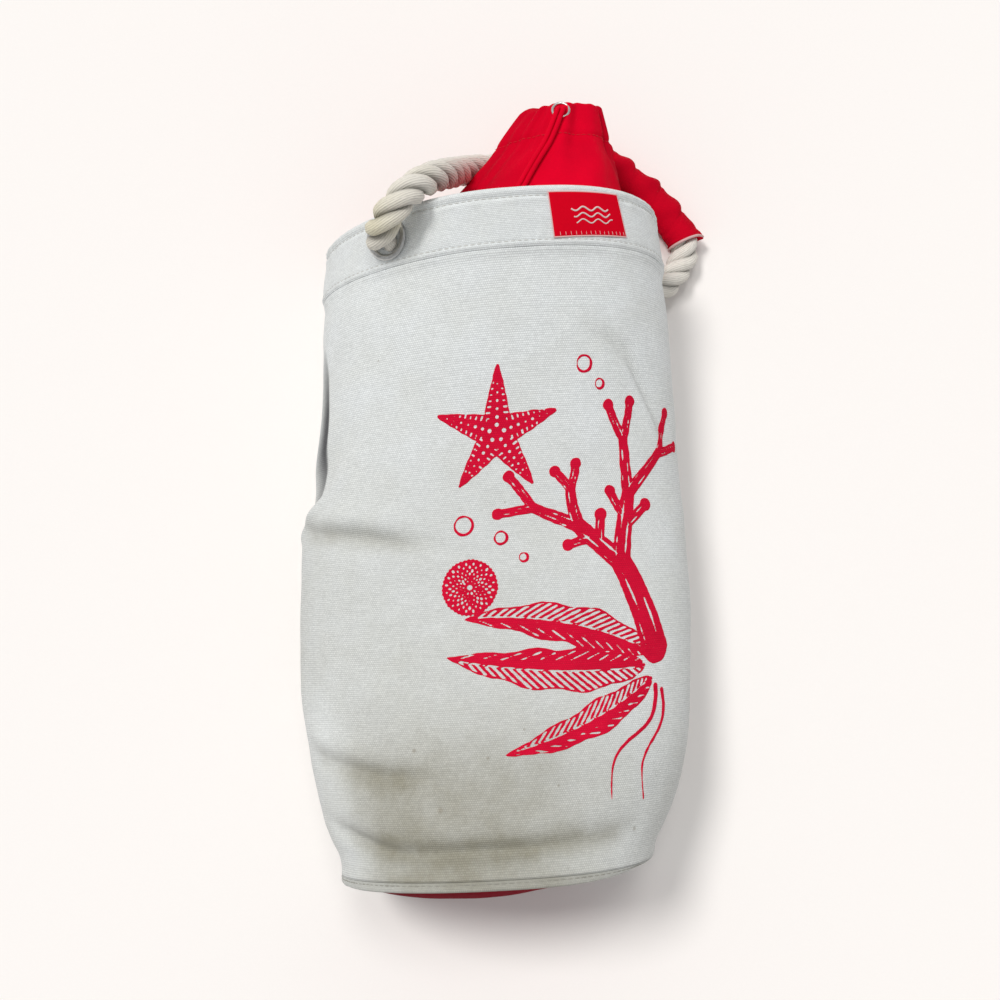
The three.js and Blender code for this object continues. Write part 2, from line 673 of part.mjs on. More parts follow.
// The sleeve is a gathered tube of cloth round the rope's middle.
function handleSleeve() {
  const points = ropePoints();
  const curve = new THREE.CatmullRomCurve3(points, false, 'centripetal');
  const before = 5;
  const [first, last] = [SLEEVE_FIRST, SLEEVE_LAST].map((index) => (before + index) / (points.length - 1));
  const outerSteps = 3 * SLEEVE_GATHERS;
  const outer = Array.from({ length: outerSteps + 1 }, (_, step) => [step / outerSteps, 1]);
  const inner = outer.toReversed().map(([share]) => [share, 0]);
  return ringSolid([...outer, ...inner], ROPE_SIDES, ([share, face], angle) => {
    const at = first + (last - first) * share;
    const centre = curve.getPoint(at);
    const way = curve.getTangent(at);
    const side = way.clone().cross(UP).normalize();
    const above = side.clone().cross(way).normalize();
    const gather = SLEEVE_GATHER * Math.sin(share * SLEEVE_GATHERS * TURN);
    const radius = face === 1 ? SLEEVE_RADIUS + gather : SLEEVE_RADIUS - SLEEVE_CLOTH;
    return centre.addScaledVector(side, radius * Math.cos(angle)).addScaledVector(above, radius * Math.sin(angle));
  });
}

const canvas = { color: 0xd9dad2, roughness: 0.95, metalness: 0 };
const redCloth = { color: 0xd2122e, roughness: 0.8, metalness: 0 };
const silver = { color: 0xbdbdb8, roughness: 0.3, metalness: 1 };
const cotton = { color: 0xd8d0bd, roughness: 0.95, metalness: 0 };

const pieces = [
  ['body_shell', bodyShell(), canvas],
  ['rim_band', rimBand(), canvas],
  ['base_binding', baseBinding(), canvas],
  ['base_panel', basePanel(), redCloth],
  ['collar', collar(), redCloth],
  ['collar_eyelet', collarEyelet(), silver],
  ['drawcord', drawcord(), redCloth],
  ['drawcord_knot_left', drawcordKnot(1), redCloth],
  ['drawcord_knot_right', drawcordKnot(-1), redCloth],
  ['label', label(), redCloth],
  ['grommet_left', grommet(GROMMET_LEFT_ANGLE), silver],
  ['grommet_right', grommet(GROMMET_RIGHT_ANGLE), silver],
  ['rope_handle', ropeHandle(), cotton],
  ['rope_knot_left', ropeKnot(GROMMET_LEFT_ANGLE), cotton],
  ['rope_knot_right', ropeKnot(GROMMET_RIGHT_ANGLE), cotton],
  ['handle_sleeve', handleSleeve(), redCloth],
];

// The origin is at the middle of the bag's own box, on the floor, without the cords.
const CORD_NAMES = ['drawcord', 'rope', 'handle'];
const tote = new THREE.Group();
const box = new THREE.Box3();
for (const [name, geometry, look] of pieces) {
  const mesh = new THREE.Mesh(geometry, new THREE.MeshStandardMaterial(look));
  mesh.name = name;
  tote.add(mesh);
  if (!CORD_NAMES.some((start) => name.startsWith(start))) {
    box.expandByObject(mesh);
  }
}
const middle = box.getCenter(new THREE.Vector3());
tote.position.set(-middle.x, -middle.y, -box.min.z);
export default tote;
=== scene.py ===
"""Insulated wine bottle tote lying on its back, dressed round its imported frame."""
import math

import bpy
import numpy as np
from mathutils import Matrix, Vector


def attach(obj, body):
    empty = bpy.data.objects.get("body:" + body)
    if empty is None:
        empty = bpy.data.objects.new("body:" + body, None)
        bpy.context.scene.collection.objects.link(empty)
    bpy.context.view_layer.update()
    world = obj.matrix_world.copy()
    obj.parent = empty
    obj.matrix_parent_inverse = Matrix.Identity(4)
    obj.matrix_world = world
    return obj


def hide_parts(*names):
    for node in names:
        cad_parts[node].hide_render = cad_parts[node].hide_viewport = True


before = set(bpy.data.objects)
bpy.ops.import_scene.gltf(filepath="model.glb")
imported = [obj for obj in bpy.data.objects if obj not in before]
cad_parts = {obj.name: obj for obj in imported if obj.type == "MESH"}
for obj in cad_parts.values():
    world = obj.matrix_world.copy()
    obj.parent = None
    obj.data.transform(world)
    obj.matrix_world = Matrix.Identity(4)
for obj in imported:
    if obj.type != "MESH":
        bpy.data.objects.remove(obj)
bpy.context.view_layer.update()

MM = 0.001
TURN = 2 * math.pi

# Millimetres in the modelling frame, the mouth towards +Y; SHIFT moves it to the row frame.
SHIFT = np.array([-0.123, -185.448, 0.0])
BODY_LENGTH, BODY_WIDTH, BODY_HEIGHT = 318.0, 201.0, 134.0
WALL, CLOTH, GAP = 4.5, 1.2, 0.3
WIDEST_LEVEL, FLOOR_PRESS = 0.47, 3.0
BAND_LIFT_FROM, BINDING_LIFT_TO = 0.8, 0.06
RIM_SKEW, BASE_SKEW = 0.085, 0.049
LEAN_FROM, RIM_BOW, RIM_LEAN, BASE_LEAN = 0.6, 0.25, 7.0, 5.0
BAND_HEIGHT = 27.0
BINDING_HEIGHT, BINDING_DEPTH, BINDING_PROUD = 4.3, 6.0, 1.0
PANEL_THICKNESS, PANEL_CROWN, PANEL_FLATNESS = 4.0, 9.0, 4.0
COLLAR_DEPTH, COLLAR_REACH = 52.0, 68.0
NECK_WIDTH, NECK_HEIGHT, NECK_SIDEWAYS, NECK_LEVEL = 36.6, 31.0, 35.0, 60.0
CHANNEL_HEIGHT, TUNNEL, RUFFLE, RUFFLE_COUNT, RUFFLE_FREE = 19.0, 4.2, 1.2, 5, 30.0
BAND_FACE = GAP + CLOTH
STACK = WALL + 2 * BAND_FACE
BAND_FOOT = 1 - BAND_HEIGHT / BODY_LENGTH
COLLAR_SEAM_SHARE = 1 - COLLAR_DEPTH / BODY_LENGTH
COLLAR_LENGTH = COLLAR_DEPTH + COLLAR_REACH
TOP = math.pi / 2

# Sections of the body: along, left, right, height, corner left, corner right, corner below.
SECTIONS = np.array([
    [0.00, 0.762, 0.778, 1.000, 2.1, 2.3, 2.2],
    [0.02, 0.770, 0.800, 0.990, 2.1, 2.3, 2.2],
    [0.045, 0.780, 0.806, 0.975, 2.1, 2.3, 2.2],
    [0.065, 0.812, 0.840, 0.965, 2.1, 2.2, 2.3],
    [0.10, 0.858, 0.895, 0.945, 2.1, 2.1, 2.4],
    [0.17, 0.919, 0.965, 0.895, 2.2, 2.2, 2.7],
    [0.22, 0.947, 0.990, 0.860, 2.2, 2.2, 2.8],
    [0.30, 0.985, 1.000, 0.812, 2.2, 2.2, 3.0],
    [0.40, 0.997, 1.003, 0.775, 2.2, 2.2, 3.0],
    [0.50, 0.997, 0.987, 0.760, 2.2, 2.2, 3.0],
    [0.54, 0.988, 0.975, 0.762, 2.2, 2.2, 3.0],
    [0.58, 0.955, 0.958, 0.768, 2.2, 2.2, 3.0],
    [0.63, 0.918, 0.945, 0.780, 2.2, 2.2, 2.9],
    [0.70, 0.886, 0.925, 0.805, 2.1, 2.2, 2.8],
    [0.78, 0.880, 0.905, 0.845, 2.0, 2.3, 2.6],
    [0.86, 0.890, 0.883, 0.885, 1.9, 2.4, 2.4],
    [0.92, 0.872, 0.850, 0.920, 1.8, 2.5, 2.3],
    [1.00, 0.843, 0.798, 0.965, 1.8, 2.6, 2.2],
])
# Dents: along, angle, depth, reach, spread, slant.
DENTS = [
    [0.630, 165, 0.025, 0.030, 18, -0.0022],
    [0.520, 134, 0.018, 0.018, 30, 0.0007],
    [0.170, 131, 0.018, 0.018, 24, 0.0007],
    [0.050, 94, 0.028, 0.014, 40, 0],
    [0.070, 140, 0.024, 0.014, 20, 0.0013],
    [0.745, 42, 0.010, 0.025, 14, 0.0040],
    [0.400, 112, 0.008, 0.080, 16, 0.0015],
]
COLLAR_ROWS = np.array([
    [0.00, 0.00], [0.15, 0.24], [0.30, 0.32], [0.43, 0.41], [0.65, 0.64],
    [0.73, 0.735], [0.81, 0.83], [0.90, 0.91], [1.00, 1.00],
])
COLLAR_DENTS = [[0.27, -40, 0.157, 0.30, 36, 0], [0.64, 150, 0.020, 0.12, 22, 0]]

# Rope, grommets, sleeve and cord
ROPE_RADIUS, SLEEVE_RADIUS = 7.7, 9.3
GROMMET_INNER, GROMMET_BARREL, GROMMET_FLANGE, GROMMET_THICK = 8.3, 0.9, 3.0, 1.3
GROMMET_SHARE = 1 - 12.5 / BODY_LENGTH
GROMMET_LEFT, GROMMET_RIGHT = 129.0, -39.0
WALL_SAG = 1.3
GROMMET_INSIDE = -STACK - GAP - WALL_SAG
ROPE_END = GROMMET_INSIDE - GROMMET_THICK - GAP
EYELET_INNER, EYELET_FLANGE, EYELET_THICK = 3.45, 1.45, 0.9
EYELET_SHARE = 1 - 5.2 / COLLAR_LENGTH
CORD_RADIUS = 1.35
ROPE_ROUTE = [
    [-53, 306.5, 127], [-49.5, 310.5, 134.5], [-44.2, 316.3, 137.5], [-38.6, 323.3, 133.5],
    [-32.2, 331.5, 121], [-25.5, 340.7, 99], [-19.8, 351, 70], [-11, 361.2, 42],
    [-1.2, 366.7, 26], [9.2, 371, 17],
    [22, 376, 12], [36, 379.5, 10], [52.7, 378.3, 10], [64.9, 370.9, 10], [75.9, 362.4, 10],
    [85.9, 353.9, 10], [93.6, 345.4, 10], [100.1, 336.9, 10], [104.5, 329.6, 10], [104.4, 322.3, 10],
    [99.8, 313.1, 11], [92.9, 305.4, 12], [84.5, 303.5, 11], [77.5, 306.5, 10.4],
]
SLEEVE_FIRST, SLEEVE_LAST = 9, 18
OUT_STEPS = 5


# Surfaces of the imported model

def table_at(rows, share):
    """A smooth curve through the rows, for an array of shares."""
    keys = rows[:, 0]
    last = len(rows) - 1
    at = np.clip(share, keys[0], keys[last])
    i = np.clip(np.searchsorted(keys, at, side="right") - 1, 0, last - 1)
    before, low, high, after = (rows[np.clip(i + k, 0, last)] for k in (-1, 0, 1, 2))
    span = high[..., :1] - low[..., :1]
    t = (at[..., None] - low[..., :1]) / span
    slope_low = (high - before) / (high[..., :1] - before[..., :1])
    slope_high = (after - low) / (after[..., :1] - low[..., :1])
    cube = 2 * (low - high) + span * (slope_low + slope_high)
    square = 3 * (high - low) - span * (2 * slope_low + slope_high)
    return ((cube * t + square) * t + span * slope_low) * t + low


def smooth(x, low, high):
    t = np.clip((x - low) / (high - low), 0, 1)
    return t * t * (3 - 2 * t)


def bell(distance, reach):
    return np.exp(-((distance / reach) ** 2))


def turn(angle, other):
    return np.abs(np.mod(angle - other + 180, 360) - 180)


def degrees_of(angle):
    """The angle in degrees, from -90 at the floor round to 270."""
    return np.mod(np.degrees(angle) + 90, 360) - 90


def dent_depth(dents, share, degrees):
    depth = np.zeros(np.broadcast(share, degrees).shape)
    for along, angle, deep, reach, spread, slant in dents:
        away = turn(degrees, angle)
        side = np.sign(np.sin(np.radians(degrees - angle)))
        depth += deep * bell(share - (along + slant * away * side), reach) * bell(away, spread)
    return depth


def power(value, exponent):
    return np.sign(value) * np.abs(value) ** exponent


def body_outline(share, angle):
    row = table_at(SECTIONS, share)
    c, s = np.cos(angle), np.sin(angle)
    above = np.where(c < 0, row[..., 4], row[..., 5])
    exponent = 2 / np.where(s < 0, row[..., 6], above)
    height = row[..., 3] * BODY_HEIGHT
    level = WIDEST_LEVEL * height
    half_width = np.where(c < 0, row[..., 1], row[..., 2]) * BODY_WIDTH / 2
    half_height = np.where(s < 0, level + FLOOR_PRESS, height - level)
    lead = power(s, exponent)
    x = half_width * power(c, exponent)
    z = half_height * lead
    keep = 1 - dent_depth(DENTS, share, np.degrees(angle)) * BODY_HEIGHT / np.hypot(x, z)
    band = smooth(share, BAND_LIFT_FROM, BAND_FOOT) * BAND_FACE
    binding = (1 - smooth(share, BINDING_HEIGHT / BODY_LENGTH, BINDING_LIFT_TO)) * BINDING_PROUD
    return x * keep, np.maximum(level + z * keep, np.maximum(band, binding)), lead


def body_point(share, angle, offset=0.0):
    """Points of the body's outer face, moved outwards by offset."""
    share, angle, offset = np.broadcast_arrays(
        np.asarray(share, float), np.asarray(angle, float), np.asarray(offset, float))
    step = 0.01
    bx, bz, _ = body_outline(share, angle - step)
    ax, az, _ = body_outline(share, angle + step)
    x, z, lead = body_outline(share, angle)
    nx, nz = az - bz, bx - ax
    size = np.maximum(np.hypot(nx, nz), 1e-9)
    x = x + offset * nx / size
    z = z + offset * nz / size
    skew = BASE_SKEW + (RIM_SKEW - BASE_SKEW) * share
    rim = RIM_LEAN * smooth(share, LEAN_FROM, 1)
    base = BASE_LEAN * (1 - smooth(share, 0, 1 - LEAN_FROM))
    lean = rim * lead * (1 - RIM_BOW + RIM_BOW * lead) + base * (lead - 1)
    return np.stack([x, share * BODY_LENGTH + skew * x + lean, z], -1)


def neck_point(angle, offset):
    free = 1 - bell(turn(np.degrees(angle), 90), RUFFLE_FREE)
    ruffle = RUFFLE * np.sin(RUFFLE_COUNT * angle) * free
    x = NECK_SIDEWAYS + (NECK_WIDTH / 2 + offset + ruffle) * np.cos(angle)
    z = NECK_LEVEL + (NECK_HEIGHT / 2 + offset + ruffle) * np.sin(angle)
    return np.stack([x, BODY_LENGTH + COLLAR_REACH + RIM_SKEW * (x - NECK_SIDEWAYS), z], -1)


def collar_point(along, angle, offset=0.0):
    """Points of the collar's outer face, from its seam (0) to its mouth (1)."""
    along, angle, offset = np.broadcast_arrays(
        np.asarray(along, float), np.asarray(angle, float), np.asarray(offset, float))
    wall = body_point(np.full(angle.shape, COLLAR_SEAM_SHARE), angle, offset - WALL - GAP)
    neck = neck_point(angle, offset)
    blend = table_at(COLLAR_ROWS, along)[..., 1]
    point = wall + (neck - wall) * blend[..., None]
    point[..., 1] = wall[..., 1] + (neck[..., 1] - wall[..., 1]) * along
    centre = np.stack([NECK_SIDEWAYS * blend, point[..., 1], np.full(blend.shape, NECK_LEVEL)], -1)
    free = smooth(along, 0, 0.14)
    depth = free * dent_depth(COLLAR_DENTS, along, np.degrees(angle)) * BODY_HEIGHT
    way = centre - point
    return point + way * (depth / np.linalg.norm(way, axis=-1))[..., None]


def length_of(points):
    """The length of a line of points, or of each line in a stack, along the first axis."""
    return np.linalg.norm(np.diff(points, axis=0), axis=-1).sum(0)


def round_body(share, offset=0.0):
    """The length once round the body, in millimetres."""
    ring = np.linspace(0, TURN, 361)
    return float(length_of(body_point(np.full(ring.shape, share), ring, offset)))


def unit(v):
    return v / np.maximum(np.linalg.norm(v, axis=-1, keepdims=True), 1e-12)


def seat_on(surface, share, angle, offset=0.0):
    """The point of a surface, its outward normal, the way round and the way along."""
    step = 0.002
    point = surface(share, angle, offset)
    around = unit(surface(share, angle + step, offset) - surface(share, angle - step, offset))
    along = unit(surface(share + step, angle, offset) - surface(share - step, angle, offset))
    return point, unit(np.cross(along, around)), around, along


# Cloth relief

def waves(u, v, seed, lengths, amount):
    """Gentle seeded undulations over a surface, u and v in millimetres."""
    rng = np.random.default_rng(seed)
    total = np.zeros(np.broadcast(u, v).shape)
    for length in lengths:
        for _ in range(3):
            way = rng.uniform(0, math.pi)
            phase = rng.uniform(0, TURN)
            total += np.sin((u * math.cos(way) + v * math.sin(way)) * TURN / length + phase) * length
    return amount * total / (3 * sum(lengths))


def crease(share, degrees, line, reach, low, high, fade=8.0):
    """A crease along a line of (angle, share) pairs, between two angles."""
    angles, shares = zip(*sorted(line))
    at = np.interp(degrees, angles, shares)
    window = smooth(degrees, low - fade, low + fade) * (1 - smooth(degrees, high - fade, high + fade))
    return bell(share - at, reach) * window


BASE_CREASE = [(20, 0.072), (44, 0.066), (63, 0.060), (90, 0.049), (108, 0.049), (132, 0.059), (148, 0.080)]
MIDDLE_CREASE = [(106, 0.495), (112, 0.505), (131, 0.525), (155, 0.535), (170, 0.545)]
LOWER_CREASE = [(105, 0.156), (124, 0.156), (147, 0.182), (165, 0.200)]
CORNER_CREASE = [(20, 0.62), (30, 0.668), (46, 0.767), (59, 0.797), (70, 0.812)]
SIDE_FOLD = [(150, 0.600), (156, 0.588), (174, 0.546), (186, 0.520)]
# Folds of the canvas: height in millimetres, shift along, line, reach, first and last angle.
FOLDS = [
    (-1.8, 0.0, BASE_CREASE, 0.017, 40, 150),
    (1.1, -0.040, BASE_CREASE, 0.020, 50, 150),
    (-1.9, 0.0, MIDDLE_CREASE, 0.013, 116, 168),
    (1.5, -0.030, MIDDLE_CREASE, 0.018, 118, 168),
    (-1.9, 0.0, LOWER_CREASE, 0.015, 108, 160),
    (1.1, -0.032, LOWER_CREASE, 0.018, 112, 160),
    (-1.3, 0.0, CORNER_CREASE, 0.014, 28, 60),
    (1.0, 0.030, CORNER_CREASE, 0.018, 30, 56),
    (1.8, 0.0, SIDE_FOLD, 0.012, 154, 182),
    (-2.2, -0.030, SIDE_FOLD, 0.020, 152, 184),
]
# Darkening in the creases, partly painted shade and partly dirt: amount, line, reach, first and last angle.
VALLEYS = [
    (0.34, BASE_CREASE, 0.020, 45, 150),
    (0.34, MIDDLE_CREASE, 0.018, 112, 168),
    (0.26, LOWER_CREASE, 0.022, 110, 160),
    (0.16, CORNER_CREASE, 0.020, 26, 62),
]
# Darkening by the height above the base, in millimetres: partly dirt and partly painted shade.
SHADE_BY_HEIGHT = [
    (0, 1.0), (6, 0.90), (12, 0.74), (20, 0.84), (35, 0.86), (54, 0.74), (74, 0.50), (93, 0.37),
    (125, 0.31), (170, 0.23), (230, 0.09), (318, 0.0),
]
CANVAS_RADIUS, BAND_RADIUS, BINDING_RADIUS = 75, 72, 62
HOLLOW_FOOT, HOLLOW_LENGTH, HOLLOW_ANGLE, HOLLOW_DEPTH, HOLLOW_BULGE = 0.560, 0.280, 170, 0.9, 2.6
CORNER_REACH, LEFT_CORNER, RIGHT_CORNER = 0.055, 162, 14


def hollow_height(share):
    """How tall the tuck at the far left is along the body, 0 to 1."""
    return np.sin(math.pi * np.clip((share - HOLLOW_FOOT) / HOLLOW_LENGTH, 0, 1))


def side_hollow(share, angle):
    """The tuck above the side fold, 0 to 1: sharp at its upper edge, fading downwards; it also sets the
    tuck's painted shadow.
    """
    degrees = degrees_of(angle)
    tall = hollow_height(share) ** 0.7
    edge = HOLLOW_ANGLE - 6.5 * tall
    return tall * smooth(degrees, edge - 4, edge) * (1 - smooth(degrees, edge, edge + 20)) ** 1.5


def body_fold(share, angle):
    """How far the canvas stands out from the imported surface, in millimetres."""
    degrees = degrees_of(angle)
    arc = np.radians(degrees) * CANVAS_RADIUS
    v = share * BODY_LENGTH
    fold = waves(arc, v, 11, (95, 60, 38), 1.1) + waves(arc, v, 12, (22, 14), 0.16) - 0.6
    for height, shift, line, reach, low, high in FOLDS:
        fold += height * crease(share + shift, degrees, line, reach, low, high)
    fold -= HOLLOW_DEPTH * side_hollow(share, angle)
    # Below the tuck the cloth bulges to the outline.
    fold += HOLLOW_BULGE * hollow_height(share) * bell(turn(degrees, 182), 20)
    below_band = (BAND_FOOT - share) * BODY_LENGTH
    above_binding = v - BINDING_HEIGHT
    fold += 0.22 * np.sin(arc / 3.1 + 2 * np.sin(arc / 17)) * bell(below_band, 7)
    fold += 0.30 * np.sin(arc / 2.6 + 2 * np.sin(arc / 13)) * bell(above_binding, 4)
    free = smooth(above_binding, 0, 5) * smooth(below_band, -1, 4) * smooth(np.sin(angle), -0.55, 0.0)
    # The cloth rises to meet the band's edge and the binding, so their steps stay soft.
    rise = 0.85 * bell(below_band, 3.2) * smooth(below_band, -0.6, 0.3)
    return fold * free + rise + 0.45 * bell(above_binding, 2.5)


def base_point(share, angle, offset=0.0):
    """Like body_point, with the base's corners drawn in: the left one a little, the right one round."""
    point = body_point(share, angle, offset)
    degrees = np.degrees(angle)
    left = 2.4 * bell(turn(degrees, LEFT_CORNER), 34) * (1 - smooth(share, 0.0, CORNER_REACH))
    near = np.clip(1 - share / CORNER_REACH, 0, 1)
    right = (1 - np.sqrt(1 - near ** 2)) * bell(turn(degrees, RIGHT_CORNER), 32)
    point[..., 0] += left - 7.0 * right
    point[..., 1] += 5.5 * right
    return point


def canvas_dirt_and_shade(share, angle):
    """How much the canvas is darkened, 0 to 1, partly dirt and partly painted shade: mostly low on the front
    and in the creases, with painted light on the right flank.
    """
    degrees = degrees_of(angle)
    height, amount = np.array(SHADE_BY_HEIGHT).T
    shade = np.interp(share * BODY_LENGTH, height, amount)
    shade = shade * (1 - 0.72 * smooth(degrees, 124, 152) * smooth(-share, -0.36, -0.22))
    # Painted light: the right flank is darkened less.
    shade = shade * (1 - 0.62 * (1 - smooth(degrees, 40, 95)))
    for amount, line, reach, low, high in VALLEYS:
        shade += amount * crease(share, degrees, line, reach, low, high)
    return np.clip(shade, 0, 1)


def running_length(points):
    """The length up to each point of a line."""
    return np.concatenate([[0], np.cumsum(np.linalg.norm(np.diff(points, axis=0), axis=1))])


def round_angles(sides, first=0.0):
    """Equal steps once round, without the repeated last one."""
    return first + np.arange(sides) * TURN / sides


ARC_ROWS, ARC_COLUMNS = 80, 720


def arc_from_top(share):
    """Angles and arc lengths from the top, for one ring of the body."""
    angles = np.linspace(TOP - math.pi, TOP + math.pi, ARC_COLUMNS + 1)
    lengths = running_length(body_point(np.full(angles.shape, share), angles))
    lengths -= np.interp(TOP, angles, lengths)
    return angles, -lengths


ARC_TABLE = np.array([arc_from_top(share)[1] for share in np.linspace(0, 1, ARC_ROWS + 1)])
ARC_ANGLES = arc_from_top(0.5)[0]


def arc_at(share, angle):
    """Arc length round from the top, positive to the viewer's right."""
    step = ARC_ANGLES[1] - ARC_ANGLES[0]
    row = np.clip(np.asarray(share) * ARC_ROWS, 0, ARC_ROWS - 0.001)
    column = np.clip((np.asarray(angle) - ARC_ANGLES[0]) / step, 0, ARC_COLUMNS - 0.001)
    i, j = row.astype(int), column.astype(int)
    a, b = row - i, column - j
    return ((1 - a) * (1 - b) * ARC_TABLE[i, j] + a * (1 - b) * ARC_TABLE[i + 1, j]
            + (1 - a) * b * ARC_TABLE[i, j + 1] + a * b * ARC_TABLE[i + 1, j + 1])


def angle_at(share, arc):
    """The angle of a point an arc length away from the top."""
    out = np.empty(share.shape)
    for k, (s, a) in enumerate(zip(share.ravel(), arc.ravel())):
        i = min(int(s * ARC_ROWS), ARC_ROWS - 1)
        t = s * ARC_ROWS - i
        table = (1 - t) * ARC_TABLE[i] + t * ARC_TABLE[i + 1]
        out.ravel()[k] = np.interp(a, table[::-1], ARC_ANGLES[::-1])
    return out


# Meshes

def to_row(points):
    return (np.asarray(points, float) + SHIFT) * MM


def add_piece(name, verts, faces, uvs, material, nodes=(), attributes=None):
    """A mesh object from points in millimetres and faces; uvs has one pair for each face corner."""
    mesh = bpy.data.meshes.new(name)
    mesh.from_pydata(to_row(verts).tolist(), [], [list(map(int, f)) for f in faces])
    layer = mesh.uv_layers.new(name="cloth")
    layer.data.foreach_set("uv", np.asarray(uvs, np.float32).ravel())
    for key, values in (attributes or {}).items():
        layer = mesh.attributes.new(key, "FLOAT", "POINT")
        layer.data.foreach_set("value", np.asarray(values, np.float32).ravel())
    mesh.polygons.foreach_set("use_smooth", [True] * len(mesh.polygons))
    mesh.materials.append(material)
    piece = bpy.data.objects.new(name, mesh)
    bpy.context.scene.collection.objects.link(piece)
    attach(piece, "root")
    if nodes:
        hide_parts(*nodes)
    return piece


def grid_faces(rows, columns, wrap, close):
    """Four-sided faces of a grid, with the row and column of each one."""
    r = np.arange(rows if close else rows - 1)
    c = np.arange(columns if wrap else columns - 1)
    rr, cc = np.meshgrid(r, c, indexing="ij")
    nr, nc = (rr + 1) % rows, (cc + 1) % columns
    faces = np.stack([rr * columns + cc, rr * columns + nc, nr * columns + nc, nr * columns + cc], -1)
    return faces.reshape(-1, 4), rr.ravel(), cc.ravel()


def volume_of(points, faces):
    """A closed grid's volume times six, below 0 where its faces look inwards."""
    p = points[faces]
    a, b, c, d = p[:, 0], p[:, 1], p[:, 2], p[:, 3]
    return float((np.cross(a, b) * c).sum() + (np.cross(a, c) * d).sum())


def grid_mesh(points, uv, wrap, close, caps):
    """A grid's points, faces that look outwards, and uvs. uv is (rows + 1, columns + 1, 2)."""
    rows, columns = points.shape[:2]
    faces, r, c = grid_faces(rows, columns, wrap, close)
    verts = points.reshape(-1, 3)
    uvs = np.stack([uv[r, c], uv[r, c + 1], uv[r + 1, c + 1], uv[r + 1, c]], 1)
    turned = volume_of(verts, faces) < 0
    if turned:
        faces, uvs = faces[:, ::-1], uvs[:, ::-1]
    faces, uvs = faces.tolist(), uvs.reshape(-1, 2)
    if caps:
        first = list(range(columns))
        last = [(rows - 1) * columns + k for k in range(columns)]
        faces += [first, last[::-1]] if turned else [first[::-1], last]
        uvs = np.concatenate([uvs, np.zeros((2 * columns, 2))])
    return verts, faces, uvs


def grid_piece(name, points, uv, material, nodes, close=True, caps=False, attributes=None):
    """One grid of points as a piece, closed round its columns."""
    verts, faces, uvs = grid_mesh(points, uv, True, close, caps)
    return add_piece(name, verts, faces, uvs, material, nodes, attributes)


def tubes_piece(name, grids, material, nodes=(), caps=True, attributes=None):
    """Several tubes as one piece, with or without end caps."""
    verts, faces, uvs, base = [], [], [], 0
    for points, uv in grids:
        some, sides, corners = grid_mesh(points, uv, True, False, caps)
        verts.append(some)
        faces += [[base + k for k in side] for side in sides]
        uvs.append(corners)
        base += len(some)
    verts, uvs = np.concatenate(verts), np.concatenate(uvs)
    return add_piece(name, verts, faces, uvs, material, nodes, attributes)


def frames_along(points):
    """A centre line's tangents and two normals that don't twist."""
    tangent = unit(np.gradient(points, axis=0))
    side = np.zeros_like(points)
    start = np.cross(tangent[0], [0, 0, 1])
    if np.linalg.norm(start) < 1e-3:
        start = np.cross(tangent[0], [0, 1, 0])
    side[0] = unit(start)
    for k in range(1, len(points)):
        side[k] = unit(side[k - 1] - tangent[k] * np.dot(side[k - 1], tangent[k]))
    return tangent, side, np.cross(tangent, side)


def at_length(at, lengths, points):
    """The places at some lengths along a line of points."""
    return np.stack([np.interp(at, lengths, points[:, k]) for k in range(3)], -1)


def resample(points, step):
    """The line in equal steps, and the length up to each of its points."""
    lengths = running_length(points)
    at = np.linspace(0, lengths[-1], max(2, int(round(lengths[-1] / step)) + 1))
    return at_length(at, lengths, points), at


def between(t, low, high, first, last):
    return (high - t) / (high - low) * first + (t - low) / (high - low) * last


def catmull(points, per):
    """A centripetal curve through the points, with some steps for each stretch."""
    p = np.asarray(points, float)
    p = np.concatenate([[2 * p[0] - p[1]], p, [2 * p[-1] - p[-2]]])
    out = []
    for i in range(1, len(p) - 2):
        four = p[i - 1:i + 3]
        knots = [0.0]
        for k in range(3):
            knots.append(knots[k] + max(np.linalg.norm(four[k + 1] - four[k]), 1e-6) ** 0.5)
        t = np.linspace(knots[1], knots[2], per, endpoint=False)[:, None]
        a = [between(t, knots[k], knots[k + 1], four[k], four[k + 1]) for k in range(3)]
        b = [between(t, knots[k], knots[k + 2], a[k], a[k + 1]) for k in range(2)]
        out.append(between(t, knots[1], knots[2], b[0], b[1]))
    out.append(p[-2:-1])
    return np.concatenate(out)


def tube_grid(centre, radius, sides, frames=None):
    """A tube's grid and uv; radius is a number or an array rows by sides."""
    _, side, above = frames or frames_along(centre)
    angle = np.tile(round_angles(sides), (len(centre), 1))
    radius = np.broadcast_to(radius, angle.shape)
    points = (centre[:, None, :] + (radius * np.cos(angle))[..., None] * side[:, None, :]
              + (radius * np.sin(angle))[..., None] * above[:, None, :])
    along = running_length(centre)
    along = np.append(along, along[-1])
    round_mm = np.linspace(0, TURN * float(np.mean(radius)), sides + 1)
    return points, np.stack(np.meshgrid(round_mm, along, indexing="xy"), -1)


RING_UV = (60, 20)


def lathe_on(name, seat, profile, sides, material, nodes):
    """A turned ring at a seat; profile is a closed list of (radius, height) along the normal."""
    point, normal, around, _ = seat
    side = np.cross(around, normal)
    angle = round_angles(sides)
    radius, height = np.array(profile).T
    points = (point + height[:, None, None] * normal
              + radius[:, None, None] * (np.cos(angle)[None, :, None] * around
                                         + np.sin(angle)[None, :, None] * side))
    uv = np.zeros((len(profile) + 1, sides + 1, 2))
    uv[..., 0] = np.linspace(0, RING_UV[0], sides + 1)
    uv[..., 1] = np.linspace(0, RING_UV[1], len(profile) + 1)[:, None]
    return grid_piece(name, points, uv, material, nodes)


STITCH_SINK = 0.35


